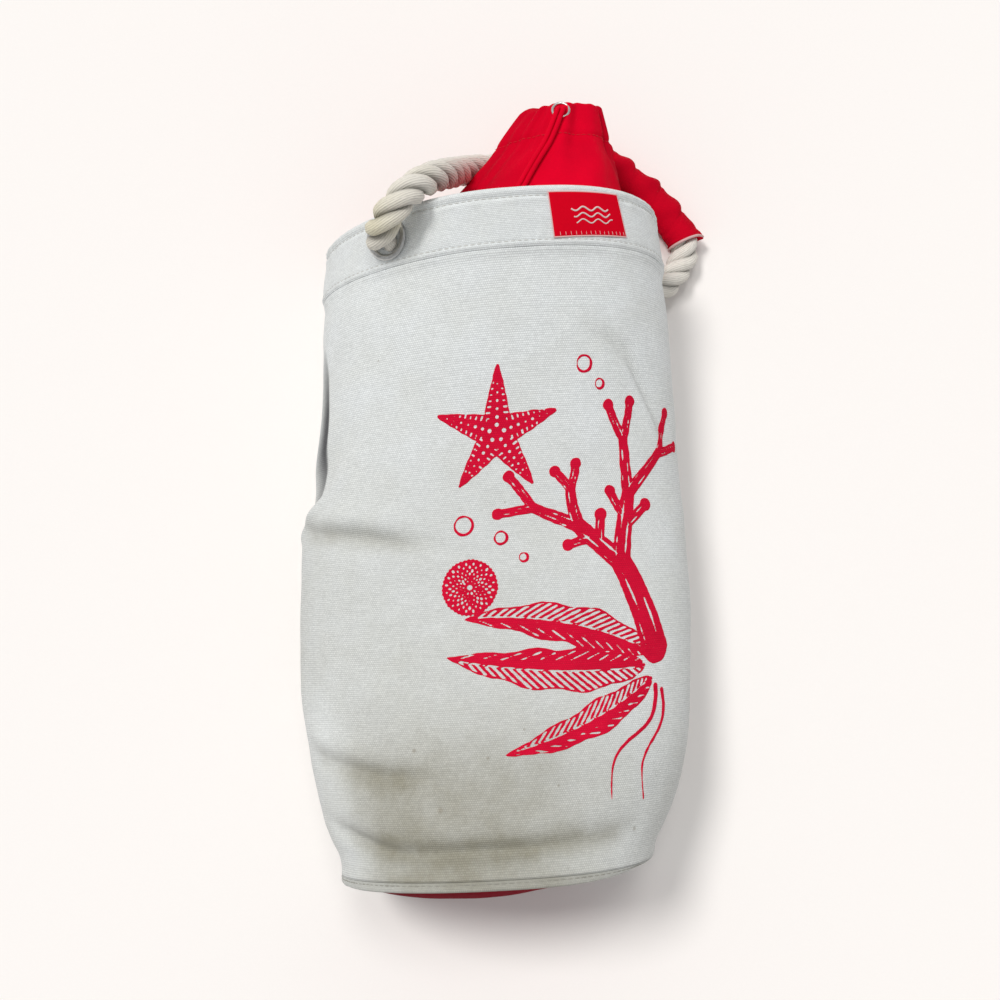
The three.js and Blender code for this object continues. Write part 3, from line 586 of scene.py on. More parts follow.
def stitch_row(points, normals, stitch, space, radius):
    """Small thread loops along a line on a surface, as grids for tubes_piece."""
    line, at = resample(points, 0.5)
    up = unit(at_length(at, running_length(points), normals))
    t = np.linspace(0, 1, 7)
    arch = np.sin(math.pi * t) ** 0.6
    thick = radius * (0.35 + 0.65 * arch)
    grids, start = [], 0.0
    while start + stitch < at[-1]:
        d = start + stitch * t
        centre = at_length(d, at, line)
        lift = at_length(d, at, up)
        centre = centre + lift * ((arch - 1 + STITCH_SINK) * radius * 1.2)[:, None]
        grids.append(tube_grid(centre, thick[:, None] * np.ones((1, 6)), 6))
        start += stitch + space
    return grids


# Camera, floor and light

CAMERA_AT = (0.002477, -0.062448, 0.800)
CAMERA_AIM = (0.002477, -0.001448, 0.045)
CAMERA_LENS, SENSOR_WIDTH, NEAREST = 52.27, 36.0, 0.01


def place_camera():
    data = bpy.data.cameras.new("camera")
    data.sensor_width = SENSOR_WIDTH
    data.lens = CAMERA_LENS
    data.clip_start = NEAREST
    camera = bpy.data.objects.new("camera", data)
    camera.location = CAMERA_AT
    aim = Vector(CAMERA_AIM) - camera.location
    camera.rotation_euler = aim.to_track_quat("-Z", "Y").to_euler()
    bpy.context.scene.collection.objects.link(camera)
    bpy.context.scene.camera = camera


SUN_POWER, SUN_SPREAD, LIGHT_DISTANCE = 2.27, 14.0, 2
SUN_COLOUR = (1.0, 0.985, 0.965)
WORLD_POWER, WORLD_COLOUR = 0.430, (0.985, 0.99, 1.0, 1)


def sun_light(name, toward, spread, power, colour):
    """A distant soft light; toward is the way from the object to it, spread its width in degrees."""
    data = bpy.data.lights.new(name, "SUN")
    data.angle = math.radians(spread)
    data.energy = power
    data.color = colour
    light = bpy.data.objects.new(name, data)
    light.location = Vector(toward).normalized() * LIGHT_DISTANCE
    light.rotation_euler = Vector(toward).to_track_quat("Z", "Y").to_euler()
    bpy.context.scene.collection.objects.link(light)


place_camera()
sun_light("key", (-0.37, 0.37, 1.0), SUN_SPREAD, 0.74 * SUN_POWER, SUN_COLOUR)
sun_light("second", (0.04, 0.41, 1.0), SUN_SPREAD, 0.26 * SUN_POWER, SUN_COLOUR)
world = bpy.data.worlds.new("studio")
world.use_nodes = True
world.node_tree.nodes["Background"].inputs["Color"].default_value = WORLD_COLOUR
world.node_tree.nodes["Background"].inputs["Strength"].default_value = WORLD_POWER
bpy.context.scene.world = world
bpy.context.scene.view_settings.view_transform = "Standard"


# Materials

class Shader:
    """A material with its nodes, built from short calls."""

    def __init__(self, name, roughness=0.9, metallic=0.0, sheen=0.0, specular=0.3):
        self.material = bpy.data.materials.new(name)
        self.material.use_nodes = True
        self.tree = self.material.node_tree
        self.bsdf = next(n for n in self.tree.nodes if n.type == "BSDF_PRINCIPLED")
        constants = {"Roughness": roughness, "Metallic": metallic, "Sheen Weight": sheen,
                     "Sheen Roughness": 0.5, "Specular IOR Level": specular}
        for key, value in constants.items():
            self.bsdf.inputs[key].default_value = value

    def put(self, socket, value):
        if isinstance(value, bpy.types.NodeSocket):
            self.tree.links.new(value, socket)
        else:
            socket.default_value = value

    def math(self, operation, *values):
        node = self.tree.nodes.new("ShaderNodeMath")
        node.operation = operation
        for socket, value in zip(node.inputs, values):
            self.put(socket, value)
        return node.outputs[0]

    def uv(self):
        node = self.tree.nodes.new("ShaderNodeUVMap")
        node.uv_map = "cloth"
        split = self.tree.nodes.new("ShaderNodeSeparateXYZ")
        self.tree.links.new(node.outputs[0], split.inputs[0])
        return node.outputs[0], split.outputs[0], split.outputs[1]

    def attribute(self, name):
        node = self.tree.nodes.new("ShaderNodeAttribute")
        node.attribute_name = name
        return node.outputs["Fac"]

    def combine(self, x, y, z=0.0):
        node = self.tree.nodes.new("ShaderNodeCombineXYZ")
        for socket, value in zip(node.inputs, (x, y, z)):
            self.put(socket, value)
        return node.outputs[0]

    def noise(self, vector, scale, detail=2.0, roughness=0.5):
        node = self.tree.nodes.new("ShaderNodeTexNoise")
        self.put(node.inputs["Vector"], vector)
        node.inputs["Scale"].default_value = scale
        node.inputs["Detail"].default_value = detail
        node.inputs["Roughness"].default_value = roughness
        return node.outputs["Fac"]

    def range(self, value, low, high, to_low, to_high):
        node = self.tree.nodes.new("ShaderNodeMapRange")
        node.clamp = True
        for socket, item in zip(node.inputs, (value, low, high, to_low, to_high)):
            self.put(socket, item)
        return node.outputs[0]

    def mix(self, share, a, b, kind="MIX"):
        node = self.tree.nodes.new("ShaderNodeMix")
        node.data_type = "RGBA"
        node.blend_type = kind
        self.put(node.inputs["Factor"], share)
        for key, value in (("A", a), ("B", b)):
            socket = next(s for s in node.inputs if s.name == key and s.type == "RGBA")
            self.put(socket, value if isinstance(value, bpy.types.NodeSocket) else (*value, 1.0))
        return next(s for s in node.outputs if s.type == "RGBA")

    def grey(self, value):
        node = self.tree.nodes.new("ShaderNodeCombineColor")
        for socket in node.inputs[:3]:
            self.put(socket, value)
        return node.outputs[0]

    def weave(self, x, y, pitch_x, pitch_y, across=0.4, uneven=0.0):
        """Height 0 to 1 of a plain weave whose ribs run along x, and a random value for each knuckle."""
        if uneven:
            shift = self.noise(self.combine(self.math("MULTIPLY", x, 0.35), y), 0.75, 2.0, 0.6)
            y = self.math("ADD", y, self.math("MULTIPLY_ADD", shift, uneven, -0.5 * uneven))
            shift = self.noise(self.combine(x, self.math("MULTIPLY", y, 0.5), 7.0), 0.8, 2.0, 0.6)
            x = self.math("ADD", x, self.math("MULTIPLY_ADD", shift, 1.6 * uneven, -0.8 * uneven))
        v = self.math("DIVIDE", y, pitch_y)
        row = self.math("FLOOR", v)
        fv = self.math("MULTIPLY_ADD", self.math("FRACT", v), 2.0, -1.0)
        rib = self.math("SUBTRACT", 1.0, self.math("MULTIPLY", fv, fv))
        u = self.math("MULTIPLY_ADD", row, 0.5, self.math("DIVIDE", x, pitch_x))
        fu = self.math("MULTIPLY_ADD", self.math("FRACT", u), 2.0, -1.0)
        knuckle = self.math("SUBTRACT", 1.0, self.math("MULTIPLY", fu, fu))
        height = self.math("MULTIPLY", rib, self.math("MULTIPLY_ADD", knuckle, across, 1 - across))
        node = self.tree.nodes.new("ShaderNodeTexWhiteNoise")
        node.noise_dimensions = "3D"
        self.put(node.inputs["Vector"], self.combine(self.math("FLOOR", u), row))
        return height, node.outputs["Value"]

    def bump(self, height, distance, strength=1.0):
        node = self.tree.nodes.new("ShaderNodeBump")
        node.inputs["Distance"].default_value = distance
        node.inputs["Strength"].default_value = strength
        self.put(node.inputs["Height"], height)
        self.tree.links.new(node.outputs[0], self.bsdf.inputs["Normal"])

    def colour(self, value):
        self.put(self.bsdf.inputs["Base Color"], value)
        return self.material

    def dye(self, base, lift):
        """The base colour made lighter or darker by a value about 1."""
        return self.colour(self.mix(1.0, base, self.grey(lift), "MULTIPLY"))


def slubs(shader, x, y, seed=0.0):
    """Streaks of thicker and thinner yarn along the ribs, about 0 to 1."""
    vector = shader.combine(shader.math("MULTIPLY", x, 0.13), shader.math("MULTIPLY", y, 0.95), seed)
    return shader.noise(vector, 1.0, 2.0, 0.6)


CANVAS_CLEAN = (0.748, 0.778, 0.788)
# Colour of the canvas's dirt and painted shade.
CANVAS_DIRT_AND_SHADE = (0.300, 0.288, 0.232)
# The canvas weave: spacing along and across its ribs in millimetres, depth between knuckles, unevenness.
RIB_X, RIB_Y, RIB_ACROSS, RIB_UNEVEN = 1.10, 0.98, 0.85, 0.55
# Stain brown, the tuck's painted shadow, and the floor's paper.
SPOT_BROWN, TUCK_SHADOW, FLOOR_PAPER = (0.20, 0.165, 0.115), (0.045, 0.045, 0.050), (0.925, 0.893, 0.870)
# Small spots on the canvas: place across and along, and reach, in millimetres.
SPOTS = [(-25.0, 36.0, 1.8), (-3.0, 58.0, 1.1), (14.0, 70.0, 0.8), (72.0, 22.0, 1.4), (-38.0, 63.0, 1.5),
         (30.0, 44.0, 0.9), (-60.0, 250.0, 0.8), (5.0, 178.0, 0.7)]


def canvas_material(name, with_dirt_and_painted_shade=True, tint=1.0, pitch=1.0):
    s = Shader(name, roughness=0.95, sheen=0.08, specular=0.2)
    vector, x, y = s.uv()
    weave, knuckle = s.weave(x, y, RIB_X * pitch, RIB_Y * pitch, RIB_ACROSS, RIB_UNEVEN)
    streak = slubs(s, x, y)
    cloud = s.noise(vector, 0.035, 3.0, 0.55)
    fine = s.noise(vector, 1.6, 2.0, 0.7)
    clean = s.mix(s.range(cloud, 0.3, 0.7, 0.0, 1.0), [c * tint for c in CANVAS_CLEAN],
                  [c * tint * k for c, k in zip(CANVAS_CLEAN, (0.955, 0.950, 0.925))])
    base = clean
    if with_dirt_and_painted_shade:
        # Dirt and painted shade, from the shade attribute.
        shade = s.attribute("shade")
        mottle = s.range(s.noise(vector, 0.06, 4.0, 0.6), 0.25, 0.75, 0.80, 1.12)
        base = s.mix(s.math("MULTIPLY", shade, mottle), clean, CANVAS_DIRT_AND_SHADE)
        # Painted shadow in the tuck at the far left.
        base = s.mix(s.range(s.attribute("dark"), 0.05, 0.95, 0.0, 0.95), base, TUCK_SHADOW)
        for sx, sy, reach in SPOTS:
            dx = s.math("SUBTRACT", x, sx)
            dy = s.math("SUBTRACT", y, sy)
            away = s.math("SQRT", s.math("ADD", s.math("MULTIPLY", dx, dx), s.math("MULTIPLY", dy, dy)))
            spot = s.range(away, reach * 0.3, reach, 0.42, 0.0)
            base = s.mix(spot, base, SPOT_BROWN)
    # Painted shade: darker in the gaps of the weave, lighter on its crowns.
    lift = s.math("MULTIPLY_ADD", weave, 0.30, 0.87)
    lift = s.math("MULTIPLY", lift, s.range(knuckle, 0.0, 1.0, 0.945, 1.05))
    lift = s.math("MULTIPLY", lift, s.range(streak, 0.25, 0.75, 0.95, 1.05))
    lift = s.math("MULTIPLY", lift, s.range(fine, 0.2, 0.8, 0.96, 1.04))
    height = s.math("ADD", weave, s.math("MULTIPLY", streak, 0.5))
    s.bump(height, 0.00020, 0.8)
    return s.dye(base, lift)


def ink_material():
    s = Shader("print_ink", roughness=0.85, specular=0.05)
    vector, x, y = s.uv()
    weave = s.weave(x, y, RIB_X, RIB_Y, RIB_ACROSS, RIB_UNEVEN)[0]
    streak = slubs(s, x, y)
    cover = s.noise(vector, 0.9, 3.0, 0.6)
    pale = s.range(cover, 0.62, 0.78, 0.0, 0.35)
    cloud = s.range(s.noise(vector, 0.05, 2.0), 0.3, 0.7, 0.0, 1.0)
    base = s.mix(cloud, (0.690, 0.006, 0.040), (0.610, 0.005, 0.034))
    base = s.mix(pale, base, (0.62, 0.16, 0.20))
    # Painted shade: darker in the gaps of the weave, lighter on its crowns.
    lift = s.math("MULTIPLY_ADD", weave, 0.22, 0.84)
    lift = s.math("MULTIPLY", lift, s.range(streak, 0.25, 0.75, 0.92, 1.07))
    s.bump(s.math("ADD", weave, s.math("MULTIPLY", streak, 0.5)), 0.00016, 0.75)
    return s.dye(base, lift)


def red_material(name, bright, dark, pitch=0.42, strength=0.5, shaded=False):
    s = Shader(name, roughness=0.8, specular=0.03)
    vector, x, y = s.uv()
    weave = s.weave(x, y, pitch, pitch, 0.5)[0]
    cloud = s.noise(vector, 0.035, 3.0, 0.55)
    fine = s.noise(vector, 0.9, 3.0, 0.65)
    base = s.mix(s.range(cloud, 0.3, 0.7, 0.0, 1.0), bright, dark)
    # Painted shade: darker in the gaps of the weave, lighter on its crowns.
    lift = s.math("MULTIPLY_ADD", weave, 0.12, 0.91)
    lift = s.math("MULTIPLY", lift, s.range(fine, 0.2, 0.8, 0.95, 1.05))
    if shaded:
        # Painted shade from the piece's shade attribute.
        lift = s.math("MULTIPLY", lift, s.math("SUBTRACT", 1.0, s.attribute("shade")))
    s.bump(s.math("ADD", weave, s.math("MULTIPLY", fine, 0.8)), 0.00009, strength)
    return s.dye(base, lift)


def rope_material():
    s = Shader("rope_cotton", roughness=0.95, sheen=0.15, specular=0.2)
    vector, x, y = s.uv()
    # The yarns of a strand run steeply across it, so their lines slant in its uv.
    slant = s.math("MULTIPLY_ADD", y, 0.42, x)
    line = s.math("FRACT", s.math("DIVIDE", slant, 1.15))
    fold = s.math("MULTIPLY_ADD", line, 2.0, -1.0)
    yarn = s.math("SUBTRACT", 1.0, s.math("MULTIPLY", fold, fold))
    fibre = s.noise(s.combine(s.math("MULTIPLY", slant, 3.2), s.math("MULTIPLY", y, 0.35)), 1.0, 3.0, 0.65)
    cloud = s.noise(vector, 0.08, 3.0, 0.6)
    base = s.mix(s.range(cloud, 0.3, 0.7, 0.0, 1.0), (0.850, 0.818, 0.755), (0.775, 0.738, 0.665))
    base = s.mix(s.attribute("shade"), base, (0.700, 0.640, 0.400))
    # Painted shade: darker between the yarns, lighter on their crowns.
    lift = s.math("MULTIPLY_ADD", yarn, 0.16, 0.88)
    lift = s.math("MULTIPLY", lift, s.range(fibre, 0.25, 0.75, 0.88, 1.09))
    # Painted shade in the grooves between the strands.
    lift = s.math("MULTIPLY", lift, s.math("MULTIPLY_ADD", s.attribute("groove_painted_shade"), -0.48, 1.0))
    s.bump(s.math("ADD", yarn, s.math("MULTIPLY", fibre, 0.9)), 0.00030, 0.8)
    return s.dye(base, lift)


def metal_material():
    s = Shader("nickel", roughness=0.30, metallic=1.0, specular=0.5)
    vector = s.uv()[0]
    tarnish = s.noise(vector, 0.25, 4.0, 0.65)
    base = s.mix(s.range(tarnish, 0.45, 0.75, 0.0, 0.8), (0.64, 0.64, 0.63), (0.26, 0.26, 0.25))
    s.put(s.bsdf.inputs["Roughness"], s.range(tarnish, 0.3, 0.75, 0.24, 0.48))
    s.bump(s.noise(vector, 3.0, 2.0), 0.00003, 0.4)
    return s.colour(base)


def thread_material(name, colour):
    s = Shader(name, roughness=0.8, sheen=0.1, specular=0.3)
    _, x, y = s.uv()
    ply = s.math("SINE", s.math("MULTIPLY_ADD", y, 9.0, s.math("MULTIPLY", x, 4.0)))
    # Painted shade: darker between the thread's plies.
    lift = s.math("MULTIPLY_ADD", ply, 0.06, 0.96)
    s.bump(ply, 0.00004, 0.5)
    return s.dye(colour, lift)


def floor_material():
    s = Shader("floor_paper", roughness=0.9, specular=0.1)
    geometry = s.tree.nodes.new("ShaderNodeNewGeometry")
    grain = s.noise(geometry.outputs["Position"], 900.0, 2.0)
    lift = s.range(grain, 0.3, 0.7, 0.995, 1.005)
    return s.dye(FLOOR_PAPER, lift)


CANVAS = canvas_material("canvas")
BAND_CANVAS = canvas_material("band_canvas", with_dirt_and_painted_shade=False, tint=1.0, pitch=0.8)
BINDING_CANVAS = canvas_material("binding_canvas", with_dirt_and_painted_shade=True, tint=0.98, pitch=0.8)
INK = ink_material()
COLLAR_RED = red_material("collar_red", (0.810, 0.0004, 0.0235), (0.660, 0.0004, 0.0190), shaded=True)
# The base panel's red is darkened as painted shade.
SHADED_BASE_RED = red_material("base_red_shaded", (0.230, 0.001, 0.012), (0.175, 0.001, 0.009), pitch=0.8)
# The sleeve's red is darkened as painted shade.
SHADED_SLEEVE_RED = red_material("sleeve_red_shaded", (0.590, 0.001, 0.0170), (0.470, 0.001, 0.0140))
CORD_RED = red_material("cord_red", (0.76, 0.0008, 0.022), (0.66, 0.0008, 0.019), pitch=0.9, strength=0.8)
LABEL_RED = red_material("label_red", (0.7, 0.001, 0.015), (0.64, 0.001, 0.0135), pitch=0.5)
HEM_PALE = red_material("hem_lining", (0.7, 0.48, 0.47), (0.64, 0.4, 0.4))
ROPE = rope_material()
NICKEL = metal_material()
THREAD_WHITE = thread_material("thread_white", (0.640, 0.640, 0.615))
THREAD_GREY = thread_material("thread_grey", (0.330, 0.322, 0.280))
THREAD_PINK = thread_material("thread_pink", (0.80, 0.50, 0.50))
THREAD_RED = thread_material("thread_red", (0.680, 0.003, 0.019))
WEAVE_CREAM = thread_material("weave_cream", (0.72, 0.60, 0.58))


FLOOR_HALF, FLOOR_GAP = 2.5, 0.0002


def build_floor():
    mesh = bpy.data.meshes.new("floor")
    corners = [(x * FLOOR_HALF, y * FLOOR_HALF, 0) for x, y in ((-1, -1), (1, -1), (1, 1), (-1, 1))]
    mesh.from_pydata(corners, [], [(0, 1, 2, 3)])
    mesh.materials.append(floor_material())
    floor = bpy.data.objects.new("floor", mesh)
    floor.location.z = -FLOOR_GAP
    bpy.context.scene.collection.objects.link(floor)


build_floor()


# Rope handle, sleeve and knots

def rope_points():
    left = seat_on(body_point, GROMMET_SHARE, math.radians(GROMMET_LEFT), BAND_FACE)
    right = seat_on(body_point, GROMMET_SHARE, math.radians(GROMMET_RIGHT), BAND_FACE)
    out = [ROPE_END, ROPE_END / 2, 0, 2 * GROMMET_THICK, 4.5 * GROMMET_THICK]
    start = [left[0] + left[1] * h for h in out]
    end = [right[0] + right[1] * h for h in reversed(out)]
    return np.array(start + [np.array(p, float) for p in ROPE_ROUTE] + end), left, right


ROPE_STEPS, ROPE_PITCH = 24, 29.5
KNOT_RADIUS, KNOT_LENGTH = 12.0, 14.0
ROPE_POINTS, LEFT_SEAT, RIGHT_SEAT = rope_points()
ROPE_DENSE = catmull(ROPE_POINTS, ROPE_STEPS)
ROPE_LINE, ROPE_AT = resample(ROPE_DENSE, 0.8)
ROPE_FRAMES = frames_along(ROPE_LINE)


def build_rope():
    tangent, side, above = ROPE_FRAMES
    strand, middle = 3.74, 3.94
    sides = 22
    angle = round_angles(sides)
    grids, shade, groove_painted_shade = [], [], []
    # The lay is drawn out where the rope falls steeply.
    level = np.sqrt(1 - np.clip(tangent[:, 2], -0.8, 0.8) ** 2)
    level = np.convolve(np.pad(level, 12, mode="edge"), np.ones(25) / 25, "valid")
    turns = np.concatenate([[0], np.cumsum(level[:-1] * np.diff(ROPE_AT))]) / ROPE_PITCH
    for k in range(3):
        phase = TURN * (turns + k / 3)
        radial = side * np.cos(phase)[:, None] + above * np.sin(phase)[:, None]
        centre = ROPE_LINE + radial * middle
        tan = unit(np.gradient(centre, axis=0))
        first = unit(radial - tan * (radial * tan).sum(1)[:, None])
        second = np.cross(tan, first)
        lobes = np.cos(7 * (angle[None, :] + ROPE_AT[:, None] / 9.0))
        radius = strand * (1 + 0.035 * lobes)
        radius = radius * (1 + 0.02 * np.sin(ROPE_AT / 7.3 + 2.1 * k))[:, None]
        # The strands press each other flat on the inside.
        radius = radius * (1 - 0.10 * np.clip(-np.cos(angle), 0, 1))[None, :]
        grids.append(tube_grid(centre, radius, sides, (tan, first, second)))
        # Painted shade in the grooves between the strands, strongest on their inner sides.
        groove_painted_shade.append(np.tile(smooth(1 - np.cos(angle), 0.25, 1.15), len(ROPE_AT)))
        stain = 0.60 * bell(ROPE_AT - 32, 18) + 0.15 * bell(ROPE_AT - 70, 14)
        shade.append(np.repeat(stain * (0.6 + 0.4 * np.sin(ROPE_AT / 5 + k)), sides))
    attributes = {"shade": np.concatenate(shade), "groove_painted_shade": np.concatenate(groove_painted_shade)}
    return tubes_piece("rope_handle_laid", grids, ROPE, ["rope_handle"], attributes=attributes)


def knot_piece(name, end, way, radius, length, material, node, pitch):
    """A whipped stopper knot: turns of the rope wound round its own end."""
    way = unit(np.asarray(way))
    t = np.linspace(0, 1, 60)
    centre = end + way * (GAP + 0.3 + t[:, None] * (length - 0.6))
    sides = 40
    angle = round_angles(sides)
    turns = np.abs(np.sin(math.pi * (t[:, None] * length / pitch + angle[None, :] / TURN)))
    shape = np.sqrt(np.clip(1 - np.abs(2 * t - 1) ** 3.2, 0.02, 1))[:, None]
    radii = radius * shape * (0.86 + 0.13 * turns ** 0.6)
    plain = np.zeros(radii.size)
    return tubes_piece(name, [tube_grid(centre, radii, sides)], material, [node],
                       attributes={"shade": plain, "groove_painted_shade": plain})


HEM_RADIUS, HEM_LOWEST = 0.75, 0.9
# The sleeve's gathers: place along it and height.
GATHERS = [(0.03, 0.8), (0.16, 2.3), (0.29, 1.8), (0.42, 2.6), (0.55, 2.0), (0.69, 2.4), (0.83, 1.9),
           (0.95, 0.9)]


def build_sleeve():
    first, last = [(OUT_STEPS + k) * ROPE_STEPS for k in (SLEEVE_FIRST, SLEEVE_LAST)]
    line, at = resample(ROPE_DENSE[first:last + 1], 0.7)
    tangent = unit(np.gradient(line, axis=0))
    side = unit(np.cross([0, 0, 1], tangent))
    above = np.cross(tangent, side)
    sides = 72
    angle = round_angles(sides)
    total = at[-1]
    t = at / total
    # side points to the outer edge of the curve; the gathers are strongest there.
    rng = np.random.default_rng(5)
    relief = np.zeros((len(at), sides))
    for place, deep in GATHERS:
        lean = rng.uniform(-0.03, 0.03)
        at_angle = place + lean * np.sin(angle) + 0.02 * np.sin(2 * angle + rng.uniform(0, TURN))
        outer = 0.35 + 0.65 * smooth(np.cos(angle), -0.4, 0.9)
        relief += deep * outer[None, :] * bell(t[:, None] - at_angle[None, :], 0.042)
        crease_at = place + 0.062 + 0.03 * np.sin(angle - 0.8)
        relief -= 0.9 * outer[None, :] * bell(t[:, None] - crease_at[None, :], 0.010)
    relief -= 0.9
    relief += waves(angle[None, :] * 9, at[:, None], 21, (17, 9), 0.35)
    relief += 0.5 * bell(turn(np.degrees(angle), 8), 7)[None, :]
    ends = np.minimum(at, total - at)[:, None]
    hem = 0.45 * bell(ends - 1.4, 1.3) - 0.35 * bell(ends - 3.4, 0.7)
    relief = relief * smooth(ends, 1.5, 6.0) + hem
    radius = SLEEVE_RADIUS - 0.1 + relief

    def tube(r):
        return (line[:, None, :] + (r * np.cos(angle))[..., None] * side[:, None, :]
                + (r * np.sin(angle))[..., None] * above[:, None, :])

    outer = tube(radius)
    # The far end's seam corner is pulled out to a small point.
    pull = bell(t[:, None] - 1.0, 0.03) * bell(turn(np.degrees(angle), 5), 16)[None, :]
    outer = outer + pull[..., None] * (1.5 * side[:, None, :] + 1.2 * tangent[:, None, :])
    inner = tube(np.full(radius.shape, ROPE_RADIUS + 0.45))[::-1]
    rim_a = (outer[-1] + inner[0]) / 2 + tangent[-1] * 0.6
    rim_b = (outer[0] + inner[-1]) / 2 - tangent[0] * 0.6
    points = np.concatenate([outer, rim_a[None], inner, rim_b[None]])
    along = np.concatenate([at, [total], at[::-1], [0, 0]])
    uv = np.stack(np.meshgrid(np.linspace(0, TURN * SLEEVE_RADIUS, sides + 1), along), -1)
    piece = grid_piece("sleeve_gathered", points, uv, SHADED_SLEEVE_RED, ["handle_sleeve"])
    hems = []
    ring_angle = np.linspace(0, TURN, sides + 1)
    for index, way in ((len(at) - 3, 1), (2, -1)):
        closed = np.append(radius[index], radius[index][0])
        radii = np.interp(ring_angle, np.append(angle, TURN), closed) - 0.35
        ring = (line[index] + tangent[index] * way * 1.6 + (radii * np.cos(ring_angle))[:, None] * side[index]
                + (radii * np.sin(ring_angle))[:, None] * above[index])
        if way == 1:
            corner = bell(turn(np.degrees(ring_angle), 5), 14)[:, None]
            ring = ring + corner * (1.4 * side[index] + 0.9 * tangent[index])
        ring[:, 2] = np.maximum(ring[:, 2], HEM_LOWEST)
        points, uv = tube_grid(ring[:-1], HEM_RADIUS, 8, ring_frames(ring[:-1]))
        hems.append((np.concatenate([points, points[:1]]), np.concatenate([uv, uv[-1:]])))
    return piece, tubes_piece("sleeve_hems", hems, HEM_PALE, caps=False)


def ring_frames(ring):
    """Frames of a closed ring of points: the tangent, the way out and the way across."""
    tangent = unit(np.roll(ring, -1, axis=0) - np.roll(ring, 1, axis=0))
    out = ring - ring.mean(0)
    out = unit(out - tangent * (out * tangent).sum(1)[:, None])
    return tangent, out, np.cross(tangent, out)


rope = build_rope()
sleeve, sleeve_hems = build_sleeve()
knots = [
    knot_piece("rope_stopper_" + hand, seat[0] + seat[1] * ROPE_END, -seat[1], KNOT_RADIUS, KNOT_LENGTH,
               ROPE, "rope_knot_" + hand, 7.0)
    for hand, seat in (("left", LEFT_SEAT), ("right", RIGHT_SEAT))
]


# Drawcord

def strand_points(side):
    spread = CORD_RADIUS + GAP / 2
    over = GAP + EYELET_THICK + GAP + CORD_RADIUS
    rest = GAP + CORD_RADIUS
    deep = -CLOTH - TUNNEL / 2
    rows = [
        (0, 3.4, deep), (0, 1.5, deep + 0.1), (0, 1, -CLOTH), (0, 1, over * 0.6), (2.6, 1, over + 0.5),
        (7, 1, over), (13, 1, rest + 0.6), (20, 1, rest), (30, 1, rest), (42, 1, rest), (52, 1.2, rest),
        (60, 2.2, rest + 0.4), (66, 2.9, rest + 1.4),
    ]
    points = []
    for down, wide, offset in rows:
        slant = np.interp(down, [2.6, 13, 30, 45, 54, 60, 66], [0, 0.042, 0.098, 0.135, 0.135, 0.07, 0])
        point, normal, around, _ = seat_on(collar_point, EYELET_SHARE - down / COLLAR_LENGTH, TOP + slant)
        points.append(point + normal * offset + around * side * wide * spread)
    return points


def drawcord_points():
    clear = math.radians(34)
    tunnel = [collar_point(EYELET_SHARE, TOP + clear + (TURN - 2 * clear) * k / 24, -CLOTH - TUNNEL / 2)
              for k in range(25)]
    return np.array(strand_points(1)[::-1] + tunnel + strand_points(-1))


def build_drawcord():
    points = drawcord_points()
    curve = catmull(points, 12)
    line, at = resample(curve, 0.45)
    sides = 12
    angle = round_angles(sides)
    # A braid's crossings, as a diamond relief.
    braid = np.sin(3 * angle[None, :] + at[:, None] * 2.6) * np.sin(3 * angle[None, :] - at[:, None] * 2.6)
    radius = CORD_RADIUS * (0.97 + 0.05 * braid)
    cord = tubes_piece("drawcord_braided", [tube_grid(line, radius, sides)], CORD_RED,
                       ["drawcord"])
    for hand, end, before in (("left", points[0], points[1]), ("right", points[-1], points[-2])):
        knot_piece("drawcord_end_knot_" + hand, end, end - before, 3.2, 6.4,
                                CORD_RED, "drawcord_knot_" + hand, 2.6)


build_drawcord()


# Body, band, binding and base

ROUND = 256
ROUND_ANGLES = -TOP + TURN * np.arange(ROUND + 1) / ROUND


def ring_uv(shares, angles=ROUND_ANGLES):
    s, a = np.meshgrid(shares, angles, indexing="ij")
    return np.stack([arc_at(s, a), s * BODY_LENGTH], -1)


def build_body():
    start = (BINDING_HEIGHT + GAP) / BODY_LENGTH
    end = 1 - BAND_FACE / BODY_LENGTH
    outer = np.linspace(start, end, 230)
    inner = np.linspace(end, start, 24)
    angles = ROUND_ANGLES[:-1]
    s, a = np.meshgrid(outer, angles, indexing="ij")
    skin = base_point(s, a, body_fold(s, a))
    si, ai = np.meshgrid(inner, angles, indexing="ij")
    lining = base_point(si, ai, np.minimum(body_fold(si, ai), 0) - WALL)
    shares = np.concatenate([outer, inner])
    shade = np.concatenate([canvas_dirt_and_shade(s, a).ravel(), np.full(si.size, 0.15)])
    # The dark attribute is the tuck's painted shadow.
    dark = np.concatenate([side_hollow(s, a).ravel(), np.zeros(si.size)])
    uv = ring_uv(np.append(shares, shares[-1]))
    piece = grid_piece("body_canvas", np.concatenate([skin, lining]), uv, CANVAS, ["body_shell"],
                       attributes={"shade": shade, "dark": dark})


def band_relief(down, angle):
    """How far the band's outer face stands out, at a distance below the rim."""
    arc = angle * BAND_RADIUS
    edge = BAND_HEIGHT - down
    pucker = np.sin(arc / 2.3 + 1.7 * np.sin(arc / 11)) * (0.6 + 0.4 * np.sin(arc / 7.7))
    relief = BAND_FACE - 0.70 * (1 - smooth(edge, -0.2, 1.6))
    relief = relief + 0.22 * bell(edge - 1.4, 1.0) - 0.26 * bell(edge - 2.6, 0.6)
    relief = relief - 0.75 * bell(down - 4.9, 0.9) + 0.22 * bell(down - 7.0, 1.4)
    relief = relief + pucker * (0.34 * bell(down - 5.8, 2.6) + 0.20 * bell(edge - 2.8, 2.4))
    return relief + waves(arc, down, 31, (46, 27, 17), 0.75) * smooth(edge, 0, 6) * smooth(down, 4, 9)


def band_point(down, angle, extra=0.0):
    return body_point(1 - down / BODY_LENGTH, angle, band_relief(down, angle) + extra)


